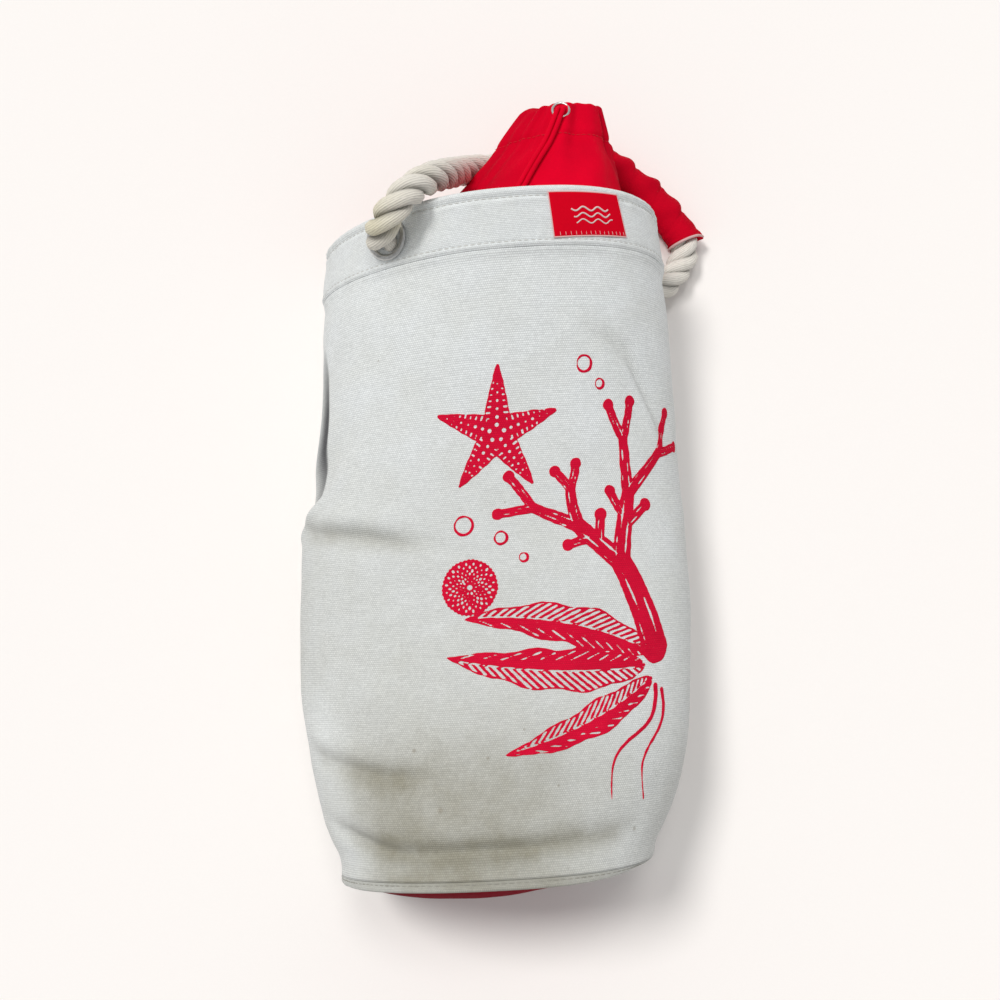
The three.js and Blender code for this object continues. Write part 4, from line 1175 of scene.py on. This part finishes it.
def build_band():
    sides = 300
    angles = round_angles(sides, -TOP)
    outer = np.concatenate([np.linspace(BAND_HEIGHT, 23.0, 12), np.linspace(22.0, 8.0, 12),
                            np.linspace(7.4, 4.3, 10)])
    d, a = np.meshgrid(outer, angles, indexing="ij")
    rows = [body_point(1 - d / BODY_LENGTH, a, band_relief(d, a))]
    downs = list(outer)
    arc = angles * BAND_RADIUS
    scallop = 0.16 * np.sin(arc / 1.1 + 1.3 * np.sin(arc / 6)) + 0.12 * np.sin(arc / 4.1)
    half, mid, crown = STACK / 2 + 0.75, -WALL / 2, 4.0
    for t in np.linspace(0.06, 1, 26) * math.pi:
        if t > 0.97 * math.pi:
            break
        lean = abs(math.cos(t))
        offset = mid + (half + scallop * lean) * math.copysign(lean ** 0.8, math.cos(t))
        down = crown * (1 - math.sin(t) ** 0.75)
        rows.append(body_point(np.full(sides, 1 - down / BODY_LENGTH), angles, offset)[None])
        downs.append(down)
    inner = np.linspace(4.5, BAND_HEIGHT, 8)
    d, a = np.meshgrid(inner, angles, indexing="ij")
    rows.append(body_point(1 - d / BODY_LENGTH, a, -WALL - BAND_FACE))
    downs += list(inner)
    back = [(BAND_HEIGHT, -WALL - GAP), (14.0, -WALL - GAP), (1.3, -WALL - GAP), (1.3, GAP), (14.0, GAP),
            (BAND_HEIGHT, GAP)]
    for down, offset in back:
        rows.append(body_point(np.full(sides, 1 - down / BODY_LENGTH), angles, offset)[None])
        downs.append(down)
    points = np.concatenate(rows)
    points[..., 2] = np.maximum(points[..., 2], 0.0)
    closed_angles = -TOP + TURN * np.arange(sides + 1) / sides
    downs = np.append(downs, downs[-1])
    uv = ring_uv(1 - downs / BODY_LENGTH, closed_angles)
    piece = grid_piece("rim_band_canvas", points, uv, BAND_CANVAS, ["rim_band"])
    # The strip is folded over the rim, with a turned hem at each edge.
    round_body(BAND_FOOT, BAND_FACE) * MM
    ring = np.radians(np.arange(-90, 270, 1.0))
    grids = []
    for down, extra in ((4.9, 0.10), (BAND_HEIGHT - 2.6, 0.0)):
        line = band_point(np.full(ring.shape, down), ring, extra)
        share = 1 - down / BODY_LENGTH
        normal = unit(body_point(share, ring, 3.0) - body_point(share, ring, 0.0))
        grids += stitch_row(line, normal, 2.5, 0.7, 0.25)
    tubes_piece("band_stitching", grids, THREAD_WHITE)


def build_binding():
    sides = 256
    angles = ROUND_ANGLES[:-1]
    arc = angles * BINDING_RADIUS
    top = BINDING_HEIGHT
    profile = [
        (top, -0.6), (top, 0.15), (top - 0.35, 0.50), (top - 0.8, 0.60), (top - 1.15, 0.22),
        (top - 1.5, 0.60), (2.2, 0.75), (1.4, 0.75), (0.8, 0.55), (0.3, 0.0), (0.0, -0.7),
        (-0.35, -1.6), (-0.5, -3.0),
        (-0.35, -4.6), (0.0, -5.6), (0.6, -BINDING_DEPTH), (top - 0.4, -BINDING_DEPTH), (top, -5.4),
    ]
    rows, ups = [], []
    for along, offset in profile:
        free = 1.0 if offset > -0.7 else 0.4
        pucker = 0.16 * np.sin(arc / 1.9 + 1.5 * np.sin(arc / 9)) * free
        lump = waves(arc, along, 41, (33, 19), 0.25) * free
        share = np.full(sides, max(along, 0.0) / BODY_LENGTH)
        rows.append(base_point(share, angles, offset + pucker + lump)
                    + np.array([0, min(along, 0.0), 0]))
        ups.append(along)
    points = np.array(rows)
    points[..., 2] = np.maximum(points[..., 2], 0.0)
    ups = np.append(ups, ups[-1])
    s, a = np.meshgrid(np.maximum(ups, 0) / BODY_LENGTH, ROUND_ANGLES, indexing="ij")
    offsets = np.append(np.array(profile)[:, 1], 0)[:, None]
    uv = np.stack([arc_at(s, a), ups[:, None] - offsets + 0 * s], -1)
    # Darkest at the front of the binding: partly dirt and partly painted shade.
    shade = np.broadcast_to(0.42 + 0.50 * bell(turn(np.degrees(angles), 92), 42), (len(profile), sides))
    grid_piece("base_binding_canvas", points, uv, BINDING_CANVAS, ["base_binding"],
               attributes={"shade": shade})
    ring = np.radians(np.arange(-60, 241, 1.0))
    level = (top - 1.15) / BODY_LENGTH
    line = base_point(np.full(ring.shape, level), ring, 0.34)
    normal = unit(body_point(0.01, ring, 3.0) - body_point(0.01, ring, 0.0))
    tubes_piece("base_stitching", stitch_row(line, normal, 2.6, 0.8, 0.27), THREAD_GREY)


def build_base():
    sides = 160
    angles = round_angles(sides, -TOP)
    rim = -BINDING_DEPTH - GAP
    rings = np.linspace(0, 1, 30) ** 0.8
    rows = []
    for face, order in ((0.0, rings[1:]), (1.0, rings[1:][::-1])):
        share = face * PANEL_THICKNESS / BODY_LENGTH
        edge = base_point(np.full(sides, share), angles, rim)
        centre = (body_point(share, TOP, rim) + body_point(share, -TOP, rim)) / 2
        for reach in order:
            wrinkle = waves(edge[:, 0] * reach, edge[:, 2] * reach, 51, (60, 35, 20), 0.8) * (1 - reach ** 4)
            point = centre + (edge - centre) * reach
            sunk = 1.5 + 4.6 * smooth(edge[:, 0] * reach, -10, 50)
            bulge = (PANEL_CROWN - sunk) * (1 - reach ** PANEL_FLATNESS) + wrinkle
            point = point - np.stack([0 * bulge, bulge, 0 * bulge], -1)
            rows.append(point)
    points = np.array(rows)
    uv = np.zeros((len(rows) + 1, sides + 1, 2))
    uv[:-1, :-1, 0] = points[..., 0]
    uv[:-1, :-1, 1] = points[..., 2]
    uv[:-1, -1] = uv[:-1, 0]
    uv[-1] = uv[-2]
    piece = grid_piece("base_panel_cloth", points, uv, SHADED_BASE_RED, ["base_panel"],
                       close=False, caps=True)
    edge = body_point(np.zeros(sides), angles, rim)


build_body()
build_band()
build_binding()
build_base()


# Collar and eyelet

SEAM = 1 - CHANNEL_HEIGHT / COLLAR_LENGTH


def collar_fold(along, angle):
    """Gathers and soft folds of the red cloth, in millimetres outwards."""
    degrees = np.mod(np.degrees(angle) + 90, 360) - 90
    quiet = 1 - 0.94 * bell(turn(degrees, 94), 15)
    gather = np.sin(9 * angle + 1.2 * np.sin(2 * angle) + 0.7)
    gather = gather + 0.6 * np.sin(15 * angle + 2.0 * np.sin(3 * angle))
    near_seam = smooth(along, SEAM - 0.34, SEAM - 0.02)
    fold = 1.25 * gather * near_seam
    long_fold = np.sin(6 * angle + 2.5 * along + 1.0) + 0.7 * np.sin(11 * angle - 3.0 * along)
    fold += 1.05 * long_fold * smooth(along, 0.10, 0.4) * (1 - 0.5 * near_seam)
    fold += waves(angle * 50, along * COLLAR_LENGTH, 61, (60, 36, 22), 1.9) * smooth(along, 0.08, 0.3)
    inside = smooth(along, SEAM, SEAM + 0.03) * (1 - smooth(along, 0.985, 1.0))
    fold += 0.5 * inside - 0.35 * bell(along - SEAM, 0.0075) - 0.4 * bell(along - SEAM + 0.055, 0.04)
    return fold * quiet


def collar_painted_shade(degrees):
    """Painted shade on the red, 0 to 1: least at the front, more towards both flanks."""
    left = 1 - 0.22 * smooth(degrees, 85, 140)
    right = 0.66 + 0.34 * smooth(degrees, 5, 45)
    return 1 - 0.96 * left * right


def collar_skin(along, angle, offset=0.0):
    return collar_point(along, angle, collar_fold(along, angle) + offset)


def build_collar():
    sides = 288
    angles = round_angles(sides, -TOP)
    inner = -2 * CLOTH - TUNNEL
    outer_rows = np.concatenate([np.linspace(0, SEAM - 0.03, 90), np.linspace(SEAM - 0.027, SEAM + 0.027, 19),
                                 np.linspace(SEAM + 0.032, 0.985, 26)])
    profile = [(along, 0.0, 1.0) for along in outer_rows]
    profile += [(0.993, -0.25, 1.0), (0.998, -0.9, 1.0), (1.0, -2.0, 0.9), (1.0, 0.5 * inner, 0.8),
                (1.0, 0.75 * inner, 0.7), (0.996, 0.92 * inner, 0.6)]
    # The channel's inner side, by its share of the channel's height.
    lower = [(k, inner, 0.5) for k in (0.85, 0.65, 0.45, 0.3)]
    lower += [(0.18, 0.7 * inner, 0.6), (0.05, -2.2 * CLOTH, 0.8), (-0.03, -CLOTH - 0.2, 1.0)]
    profile += [(SEAM + (1 - SEAM) * k, offset, keep) for k, offset, keep in lower]
    profile += [(along, -CLOTH, 1.0) for along in np.linspace(SEAM - 0.03, 0, 40)]
    frill = 0.9 * np.sin(7 * angles + 1.1) + 0.7 * np.sin(12 * angles + 0.4)
    frill = frill * (1 - bell(turn(np.degrees(angles), 90), 24))
    rows = []
    for along, offset, keep in profile:
        level = np.full(sides, along)
        row = collar_point(level, angles, offset + keep * collar_fold(level, angles))
        row[:, 1] += frill * smooth(along, SEAM + 0.04, 1.0)
        rows.append(row)
    alongs = np.array([p[0] for p in profile] + [profile[-1][0]]) * COLLAR_LENGTH
    uv = np.stack(np.meshgrid(np.linspace(0, 250, sides + 1), alongs), -1)
    # Painted shade: deeper red towards both flanks.
    shade = np.broadcast_to(collar_painted_shade(np.degrees(angles)), (len(rows), sides))
    piece = grid_piece("collar_cloth", np.array(rows), uv, COLLAR_RED, ["collar"],
                       attributes={"shade": shade})
    # The cut tapers from the seam to a mouth that the gathers draw in, and has the channel's turned hem.
    wide = round_body(COLLAR_SEAM_SHARE, -WALL)
    ring = np.radians(np.arange(-90, 270, 1.5))
    line = collar_skin(np.full(ring.shape, SEAM), ring, 0.22)
    out = collar_point(SEAM, ring, 3.0) - collar_point(SEAM, ring, 0.0)
    tubes_piece("channel_stitching", stitch_row(line, unit(out), 2.0, 0.8, 0.22), THREAD_RED)


def ring_profile(inner, barrel, flange, low, base, thick):
    """A rolled ring round a barrel: the visible side's rim is a smooth bead."""
    crown = (inner + flange) / 2
    half = (flange - inner) / 2
    bead = []
    for t in np.linspace(math.pi, 0, 15):
        bead.append((crown + half * math.cos(t), base + 0.25 * thick + thick * 0.85 * math.sin(t) ** 0.85))
    return [(inner, low)] + bead + [(flange, base), (barrel, base), (barrel, low)]


def build_rings():
    eyelet_seat = seat_on(collar_point, EYELET_SHARE, TOP)
    profile = ring_profile(EYELET_INNER, EYELET_INNER + EYELET_THICK / 2, EYELET_INNER + EYELET_FLANGE,
                           -CLOTH - 2 * GAP, 0.1, EYELET_THICK)
    lathe_on("eyelet_ring", eyelet_seat, profile, 64, NICKEL, ["collar_eyelet"])
    barrel = GROMMET_INNER + GROMMET_BARREL
    flange = GROMMET_INNER + GROMMET_FLANGE
    for name, seat, node in (("grommet_ring_left", LEFT_SEAT, "grommet_left"),
                             ("grommet_ring_right", RIGHT_SEAT, "grommet_right")):
        profile = ring_profile(GROMMET_INNER, barrel, flange, -2.0, 0.15, GROMMET_THICK)
        profile = profile[:-1]
        crown = (GROMMET_INNER + flange) / 2
        half = (flange - GROMMET_INNER) / 2
        profile.append((barrel, GROMMET_INSIDE))
        for t in np.linspace(0, math.pi, 9):
            profile.append((crown + half * math.cos(t), GROMMET_INSIDE - GROMMET_THICK * 0.8 * math.sin(t)))
        lathe_on(name, seat, profile, 84, NICKEL, [node])


build_collar()
build_rings()


# Label

# The label's corners, two above and two below: angle in degrees and distance below the rim.
LABEL_CORNERS = np.array([(77.4, 3.5), (50.0, 3.1), (75.6, 23.8), (47.0, 22.0)])
LABEL_CUT, LABEL_SEEN = (37.0, 22.0), (32, 20)
TICKS_LEVEL, TICKS = 0.895, 15


def label_place(across, down):
    """Angle in degrees and distance below the rim for a place on the label, 0 to 1 each way."""
    tl, tr, bl, br = LABEL_CORNERS
    across, down = np.broadcast_arrays(np.asarray(across, float), np.asarray(down, float))
    top = tl + (tr - tl) * across[..., None]
    low = bl + (br - bl) * across[..., None]
    place = top + (low - top) * down[..., None]
    return np.radians(place[..., 0]), place[..., 1] + 0.3 * (1 - down)


def label_point(across, down, height):
    angle, below = label_place(across, down)
    return body_point(1 - below / BODY_LENGTH, angle, BAND_FACE + GAP + height)


def build_label():
    columns, rows = 60, 40
    a, d = np.meshgrid(np.linspace(0, 1, columns), np.linspace(0, 1, rows))
    swell = 0.30 * np.sin(math.pi * d) * np.sin(math.pi * a) + 0.06 * np.sin(22 * a) * bell(d - 0.95, 0.08)
    edge = np.minimum(np.minimum(a, 1 - a) * LABEL_SEEN[0], np.minimum(d, 1 - d) * LABEL_SEEN[1])
    top = label_point(a, d, 0.55 + swell - 0.45 * (1 - smooth(edge, 0, 0.7)))
    bottom = label_point(a, d, -0.05 + 0 * a)
    verts = np.concatenate([top.reshape(-1, 3), bottom.reshape(-1, 3)])
    index = np.arange(rows * columns).reshape(rows, columns)
    faces = grid_faces(rows, columns, False, False)[0]
    under = faces[:, ::-1] + rows * columns
    rim = np.concatenate([index[0, :-1], index[:-1, -1], index[-1, :0:-1], index[:0:-1, 0]])
    walls = [[p, q, q + rows * columns, p + rows * columns] for p, q in zip(rim, np.roll(rim, -1))]
    uv = np.tile(np.stack([a * LABEL_SEEN[0], d * LABEL_SEEN[1]], -1).reshape(-1, 2), (2, 1))
    all_faces = faces[:, ::-1].tolist() + under[:, ::-1].tolist() + walls
    uvs = uv[np.array(all_faces)].reshape(-1, 2)
    piece = add_piece("woven_label", verts, all_faces, uvs, LABEL_RED, ["label"])

    def line(points, wide, lift, count=60):
        """A raised woven line on the label through places across and down."""
        path = np.array(points, float)
        t = np.linspace(0, len(path) - 1, count)
        ac, dn = (np.interp(t, np.arange(len(path)), path[:, k]) for k in (0, 1))
        extra = 0.30 * np.sin(math.pi * dn) * np.sin(math.pi * ac)
        centre = label_point(ac, dn, 0.60 + lift + extra)
        return tube_grid(centre, np.full((count, 8), wide), 8)

    grids = []
    for k, row in enumerate((0.40, 0.54, 0.68)):
        t = np.linspace(0, 1, 60)
        ac = 0.24 + 0.52 * t + 0.02 * k
        dn = row + 0.045 * np.sin(t * TURN * 2.5 + k)
        grids.append(line(np.stack([ac, dn], -1), 0.42 - 0.05 * k, -0.05))
    tubes_piece("label_wave_lines", grids, WEAVE_CREAM)

    grids = []
    sides = [((0, 0), (1, 0), 0.38), ((0, 1), (1, 1), 0.34), ((0, 0), (0, 1), 0.30), ((1, 0), (1, 1), 0.30)]
    for start, end, wide in sides:
        t = np.linspace(0, 1, 50)
        ac, dn = (np.interp(t, [0, 1], [start[k], end[k]]) for k in (0, 1))
        grids.append(tube_grid(label_point(ac, dn, 0.12 + 0 * t), np.full((50, 8), wide), 8))
    for place in np.linspace(0.07, 0.95, TICKS):
        t = np.linspace(0, 1, 6)
        centre = label_point(place + 0 * t, TICKS_LEVEL + 0.09 * t, 0.60 + 0 * t)
        thick = np.full((6, 6), 0.13) * np.sin(math.pi * (0.15 + 0.7 * t))[:, None]
        grids.append(tube_grid(centre, thick, 6))
    tubes_piece("label_border_thread", grids, THREAD_PINK)


build_label()


# The print

def curve_points(start, heading, length, bend, count=9):
    points, at, way = [start], np.array(start, float), heading
    for _ in range(count - 1):
        way += bend / (count - 1)
        at = at + np.array([math.cos(way), math.sin(way)]) * length / (count - 1)
        points.append((at[0], at[1]))
    return points, way


def nearest(u, v, points):
    """Distance along a line of points to the place nearest to (u, v), and how far to its left."""
    best = np.full(u.shape, 1e6)
    along, aside, done = np.zeros(u.shape), np.zeros(u.shape), 0.0
    for (ax, ay), (bx, by) in zip(points, points[1:]):
        dx, dy = bx - ax, by - ay
        length = math.hypot(dx, dy)
        t = np.clip(((u - ax) * dx + (v - ay) * dy) / length ** 2, 0, 1)
        off = np.hypot(u - ax - dx * t, v - ay - dy * t)
        side = np.sign(dx * (v - ay) - dy * (u - ax))
        closer = off < best
        best = np.where(closer, off, best)
        along = np.where(closer, done + t * length, along)
        aside = np.where(closer, off * side, aside)
        done += length
    return along, aside, done


def stroke(u, v, points, wide, tip):
    along, aside, length = nearest(u, v, points)
    return np.abs(aside) - (wide + (tip - wide) * along / length)


def hatch(along, aside, pitch, slant, thick):
    """Slanting cut lines: below 0 inside a cut that thins towards its ends."""
    phase = (along + slant * np.abs(aside)) / pitch
    return (np.abs(phase - np.floor(phase) - 0.5) * pitch) / math.hypot(1, slant) - thick


def blade(u, v, start, heading, length, bend, wide, pitch, solid_side):
    """A weed's blade: one half solid, the other hatched as in a lino cut."""
    points, _ = curve_points(start, heading, length, bend, 14)
    along, aside, total = nearest(u, v, points)
    t = along / total
    half = wide * np.sin(math.pi * np.clip(t, 0, 1) ** 0.75) ** 0.8 * (1 + 0.10 * np.sin(along / 4.1))
    leaf = np.abs(aside) - half
    open_side = aside * solid_side < 0
    cut = hatch(along, aside, pitch, 1.3, 0.15 * pitch)
    cut = np.maximum(cut, np.maximum(0.9 - np.abs(aside), np.abs(aside) - half + 0.75))
    cut = np.where(open_side, cut, 1.0)
    nick = hatch(along, aside, pitch * 1.9, 2.2, 0.30)
    nick = np.maximum(nick, np.maximum(0.45 * half - np.abs(aside), np.abs(aside) - 0.86 * half))
    nick = np.where(open_side, 1.0, nick)
    rib = np.maximum(np.abs(aside + 0.55 * solid_side) - 0.30, np.maximum(0.06 - t, t - 0.93) * total)
    return np.maximum(leaf, -np.minimum(np.minimum(cut, nick), rib))


# Cut lines on a branch: place aside, start and end as shares of its length, and width.
CORAL_CUTS = [(-0.38, 0.10, 0.62, 0.42), (0.30, 0.42, 0.95, 0.36), (0.62, 0.05, 0.40, 0.24)]


def coral(u, v, root, heading, length, wide, seed):
    """A branching coral with blunt tips, cut through by short lines along its branches."""
    rng = np.random.default_rng(seed)
    shape, cuts = np.full(u.shape, 1e3), np.full(u.shape, 1e3)
    todo = [(root, heading, length, wide, 0)]
    while todo:
        start, way, reach, thick, level = todo.pop()
        points, end_way = curve_points(start, way, reach, rng.uniform(-0.35, 0.35), 7)
        tip = thick * (0.74 if level < 3 else 0.95)
        shape = np.minimum(shape, stroke(u, v, points, thick, tip))
        if level >= 3:
            end = points[-1]
            shape = np.minimum(shape, np.hypot(u - end[0], v - end[1]) - thick * 1.25)
        if thick > 1.7:
            along, aside, total = nearest(u, v, points)
            for side, low, high, cut in CORAL_CUTS:
                taper = np.sin(math.pi * np.clip((along / total - low) / (high - low), 0, 1))
                middle = np.abs(aside - side * thick) - cut * taper * min(thick / 4, 1.5)
                ends = np.maximum(low - along / total, along / total - high) * total
                cuts = np.minimum(cuts, np.maximum(middle, ends))
        if level < 3:
            for sign in (-1, 1):
                spread = rng.uniform(0.34, 0.58) * sign
                grow = rng.uniform(0.62, 0.84)
                todo.append((points[-1], end_way + spread, reach * grow, tip * 0.90, level + 1))
            if level == 1:
                todo.append((points[3], way - 0.85, reach * 0.50, thick * 0.50, level + 2))
                todo.append((points[4], way + 0.80, reach * 0.44, thick * 0.46, level + 2))
    return np.maximum(shape, -cuts)


def starfish(u, v, centre, size, spin):
    cu, cv = u - centre[0], v - centre[1]
    radius, angle = np.hypot(cu, cv), np.arctan2(cv, cu) - spin
    fold = np.mod(angle + math.pi / 5, TURN / 5) - math.pi / 5
    x, y = radius * np.cos(fold), np.abs(radius * np.sin(fold))
    half = size * 0.255 * np.clip(1.02 - x / size, 0.0, 1) ** 0.80
    arm = (y - half) * 0.92
    body = np.maximum(arm, x - size * 0.985)
    dots = np.full(u.shape, 1e3)
    for k in range(5):
        way = spin + k * TURN / 5
        for step in range(1, 8):
            reach = size * 0.118 * step
            at = (centre[0] + reach * math.cos(way), centre[1] + reach * math.sin(way))
            dots = np.minimum(dots, np.hypot(u - at[0], v - at[1]) - size * (0.034 - 0.0034 * step))
    ticks = np.maximum(np.abs(np.mod(x, size * 0.085) - size * 0.0425) - size * 0.0125,
                       np.maximum(y - half + size * 0.022, half * 0.52 - y))
    ticks = np.where((x > size * 0.16) & (x < size * 0.80), ticks, 1.0)
    return np.maximum(np.maximum(body, -dots), -ticks)


def urchin(u, v, centre, size):
    """A sea urchin's round shell: rows of dots that grow outwards, inside a toothed rim."""
    radius, angle = np.hypot(u - centre[0], v - centre[1]), np.arctan2(v - centre[1], u - centre[0])
    disc = radius - size * (1 + 0.018 * np.sin(angle * 40))
    cuts = radius - 0.09 * size
    for step in range(1, 7):
        ring = size * (0.10 + 0.125 * step)
        count = 10 * (1 if step < 2 else 2)
        turned = np.mod(angle + (step % 2) * math.pi / count, TURN / count) - math.pi / count
        x, y = radius * np.cos(turned) - ring, radius * np.sin(turned)
        long = size * (0.030 + 0.006 * step)
        cuts = np.minimum(cuts, np.hypot(x / 1.5, y) - long * (0.62 if count == 20 else 0.8))
    return np.maximum(disc, -cuts)


def bubbles(u, v, places):
    ring = np.full(u.shape, 1e3)
    for cu, cv, size in places:
        radius = np.hypot(u - cu, v - cv)
        angle = np.arctan2(v - cv, u - cu)
        thick = 0.20 * size ** 0.5 + 0.16 + 0.14 * np.cos(angle + 0.8)
        ring = np.minimum(ring, np.abs(radius - size) - thick)
    return ring


def trail(u, v, start, heading, length, swing, wide):
    t = np.linspace(0, 1, 34)
    bow = swing * np.sin(t * TURN * 1.1)
    x = start[0] + math.cos(heading) * length * t - math.sin(heading) * bow
    y = start[1] + math.sin(heading) * length * t + math.cos(heading) * bow
    return stroke(u, v, list(zip(x, y)), wide, 0.25)


BLADES = [
    # start, heading in degrees, length, bend, half width, hatch pitch, solid side
    ((78, 102), 152, 96, 0.50, 9.5, 3.8, 1), ((76, 96), 184, 100, -0.30, 10.0, 4.0, -1),
    ((80, 90), 215, 82, -0.40, 7.6, 3.6, 1),
]
TRAILS = [((82, 86), 240, 56, 4.6, 1.3), ((86, 84), 256, 50, 3.6, 1.1)]
BUBBLES = [(-15, 168, 4.4), (3, 161, 3.0), (14, 151, 2.1), (44, 240, 3.6), (52, 231, 2.2)]


def design(u, v):
    """Distance to the edge of the printed sea life, below 0 inside it, from places on the canvas in mm."""
    shape = coral(u, v, (82.0, 104.0), math.radians(107), 46.0, 7.6, 5)
    for start, heading, length, bend, wide, pitch, side in BLADES:
        shape = np.minimum(shape, blade(u, v, start, math.radians(heading), length, bend, wide, pitch, side))
    shape = np.minimum(shape, starfish(u, v, (1.0, 211.0), 31.0, 0.30))
    shape = np.minimum(shape, urchin(u, v, (-12.0, 138.0), 13.5))
    shape = np.minimum(shape, bubbles(u, v, BUBBLES))
    for start, heading, length, swing, wide in TRAILS:
        shape = np.minimum(shape, trail(u, v, start, math.radians(heading), length, swing, wide))
    return shape + 0.30 * waves(u, v, 71, (6.5, 3.3), 1.0)


def outlines(field, us, vs):
    """Cells where the field is below 0, cut along its zero line: points and polygons."""
    verts, index, faces = [], {}, []

    def corner(i, j):
        key = (i, j)
        if key not in index:
            index[key] = len(verts)
            verts.append((us[j], vs[i]))
        return index[key]

    def crossing(a, b):
        key = (a, b) if a < b else (b, a)
        if key not in index:
            (i0, j0), (i1, j1) = key
            f0, f1 = field[i0, j0], field[i1, j1]
            t = min(max(f0 / (f0 - f1), 0.02), 0.98)
            index[key] = len(verts)
            verts.append((us[j0] + (us[j1] - us[j0]) * t, vs[i0] + (vs[i1] - vs[i0]) * t))
        return index[key]

    inside = field < 0
    any_in = inside[:-1, :-1] | inside[1:, :-1] | inside[:-1, 1:] | inside[1:, 1:]
    for i, j in zip(*np.nonzero(any_in)):
        ring = [(i, j), (i, j + 1), (i + 1, j + 1), (i + 1, j)]
        cell = []
        for k in range(4):
            a, b = ring[k], ring[(k + 1) % 4]
            if inside[a]:
                cell.append(corner(*a))
            if inside[a] != inside[b]:
                cell.append(crossing(a, b))
        if len(cell) > 2:
            faces.append(cell)
    return np.array(verts), faces


PRINT_STEP, PRINT_RANGE = 0.55, ((-32, 110), (33, 246))
INK_ABOVE, INK_BELOW = 0.13, 0.30


def build_print():
    us, vs = (np.arange(low, high, PRINT_STEP) for low, high in PRINT_RANGE)
    u, v = np.meshgrid(us, vs)
    flat, faces = outlines(design(u, v), us, vs)
    share = flat[:, 1] / BODY_LENGTH
    angle = angle_at(share, flat[:, 0])
    fold = body_fold(share, angle)
    top = body_point(share, angle, fold + INK_ABOVE)
    bottom = body_point(share, angle, fold - INK_BELOW)
    count = len(flat)
    edges = {}
    for face in faces:
        for k, a in enumerate(face):
            b = face[(k + 1) % len(face)]
            if (b, a) in edges:
                del edges[(b, a)]
            else:
                edges[(a, b)] = True
    walls = [[b, a, a + count, b + count] for a, b in edges]
    under = [[k + count for k in reversed(face)] for face in faces]
    every = faces + under + walls
    uv = np.concatenate([flat, flat])
    order = np.array([k for face in every for k in face])
    add_piece("sea_sprig_print", np.concatenate([top, bottom]), every, uv[order], INK)


build_print()
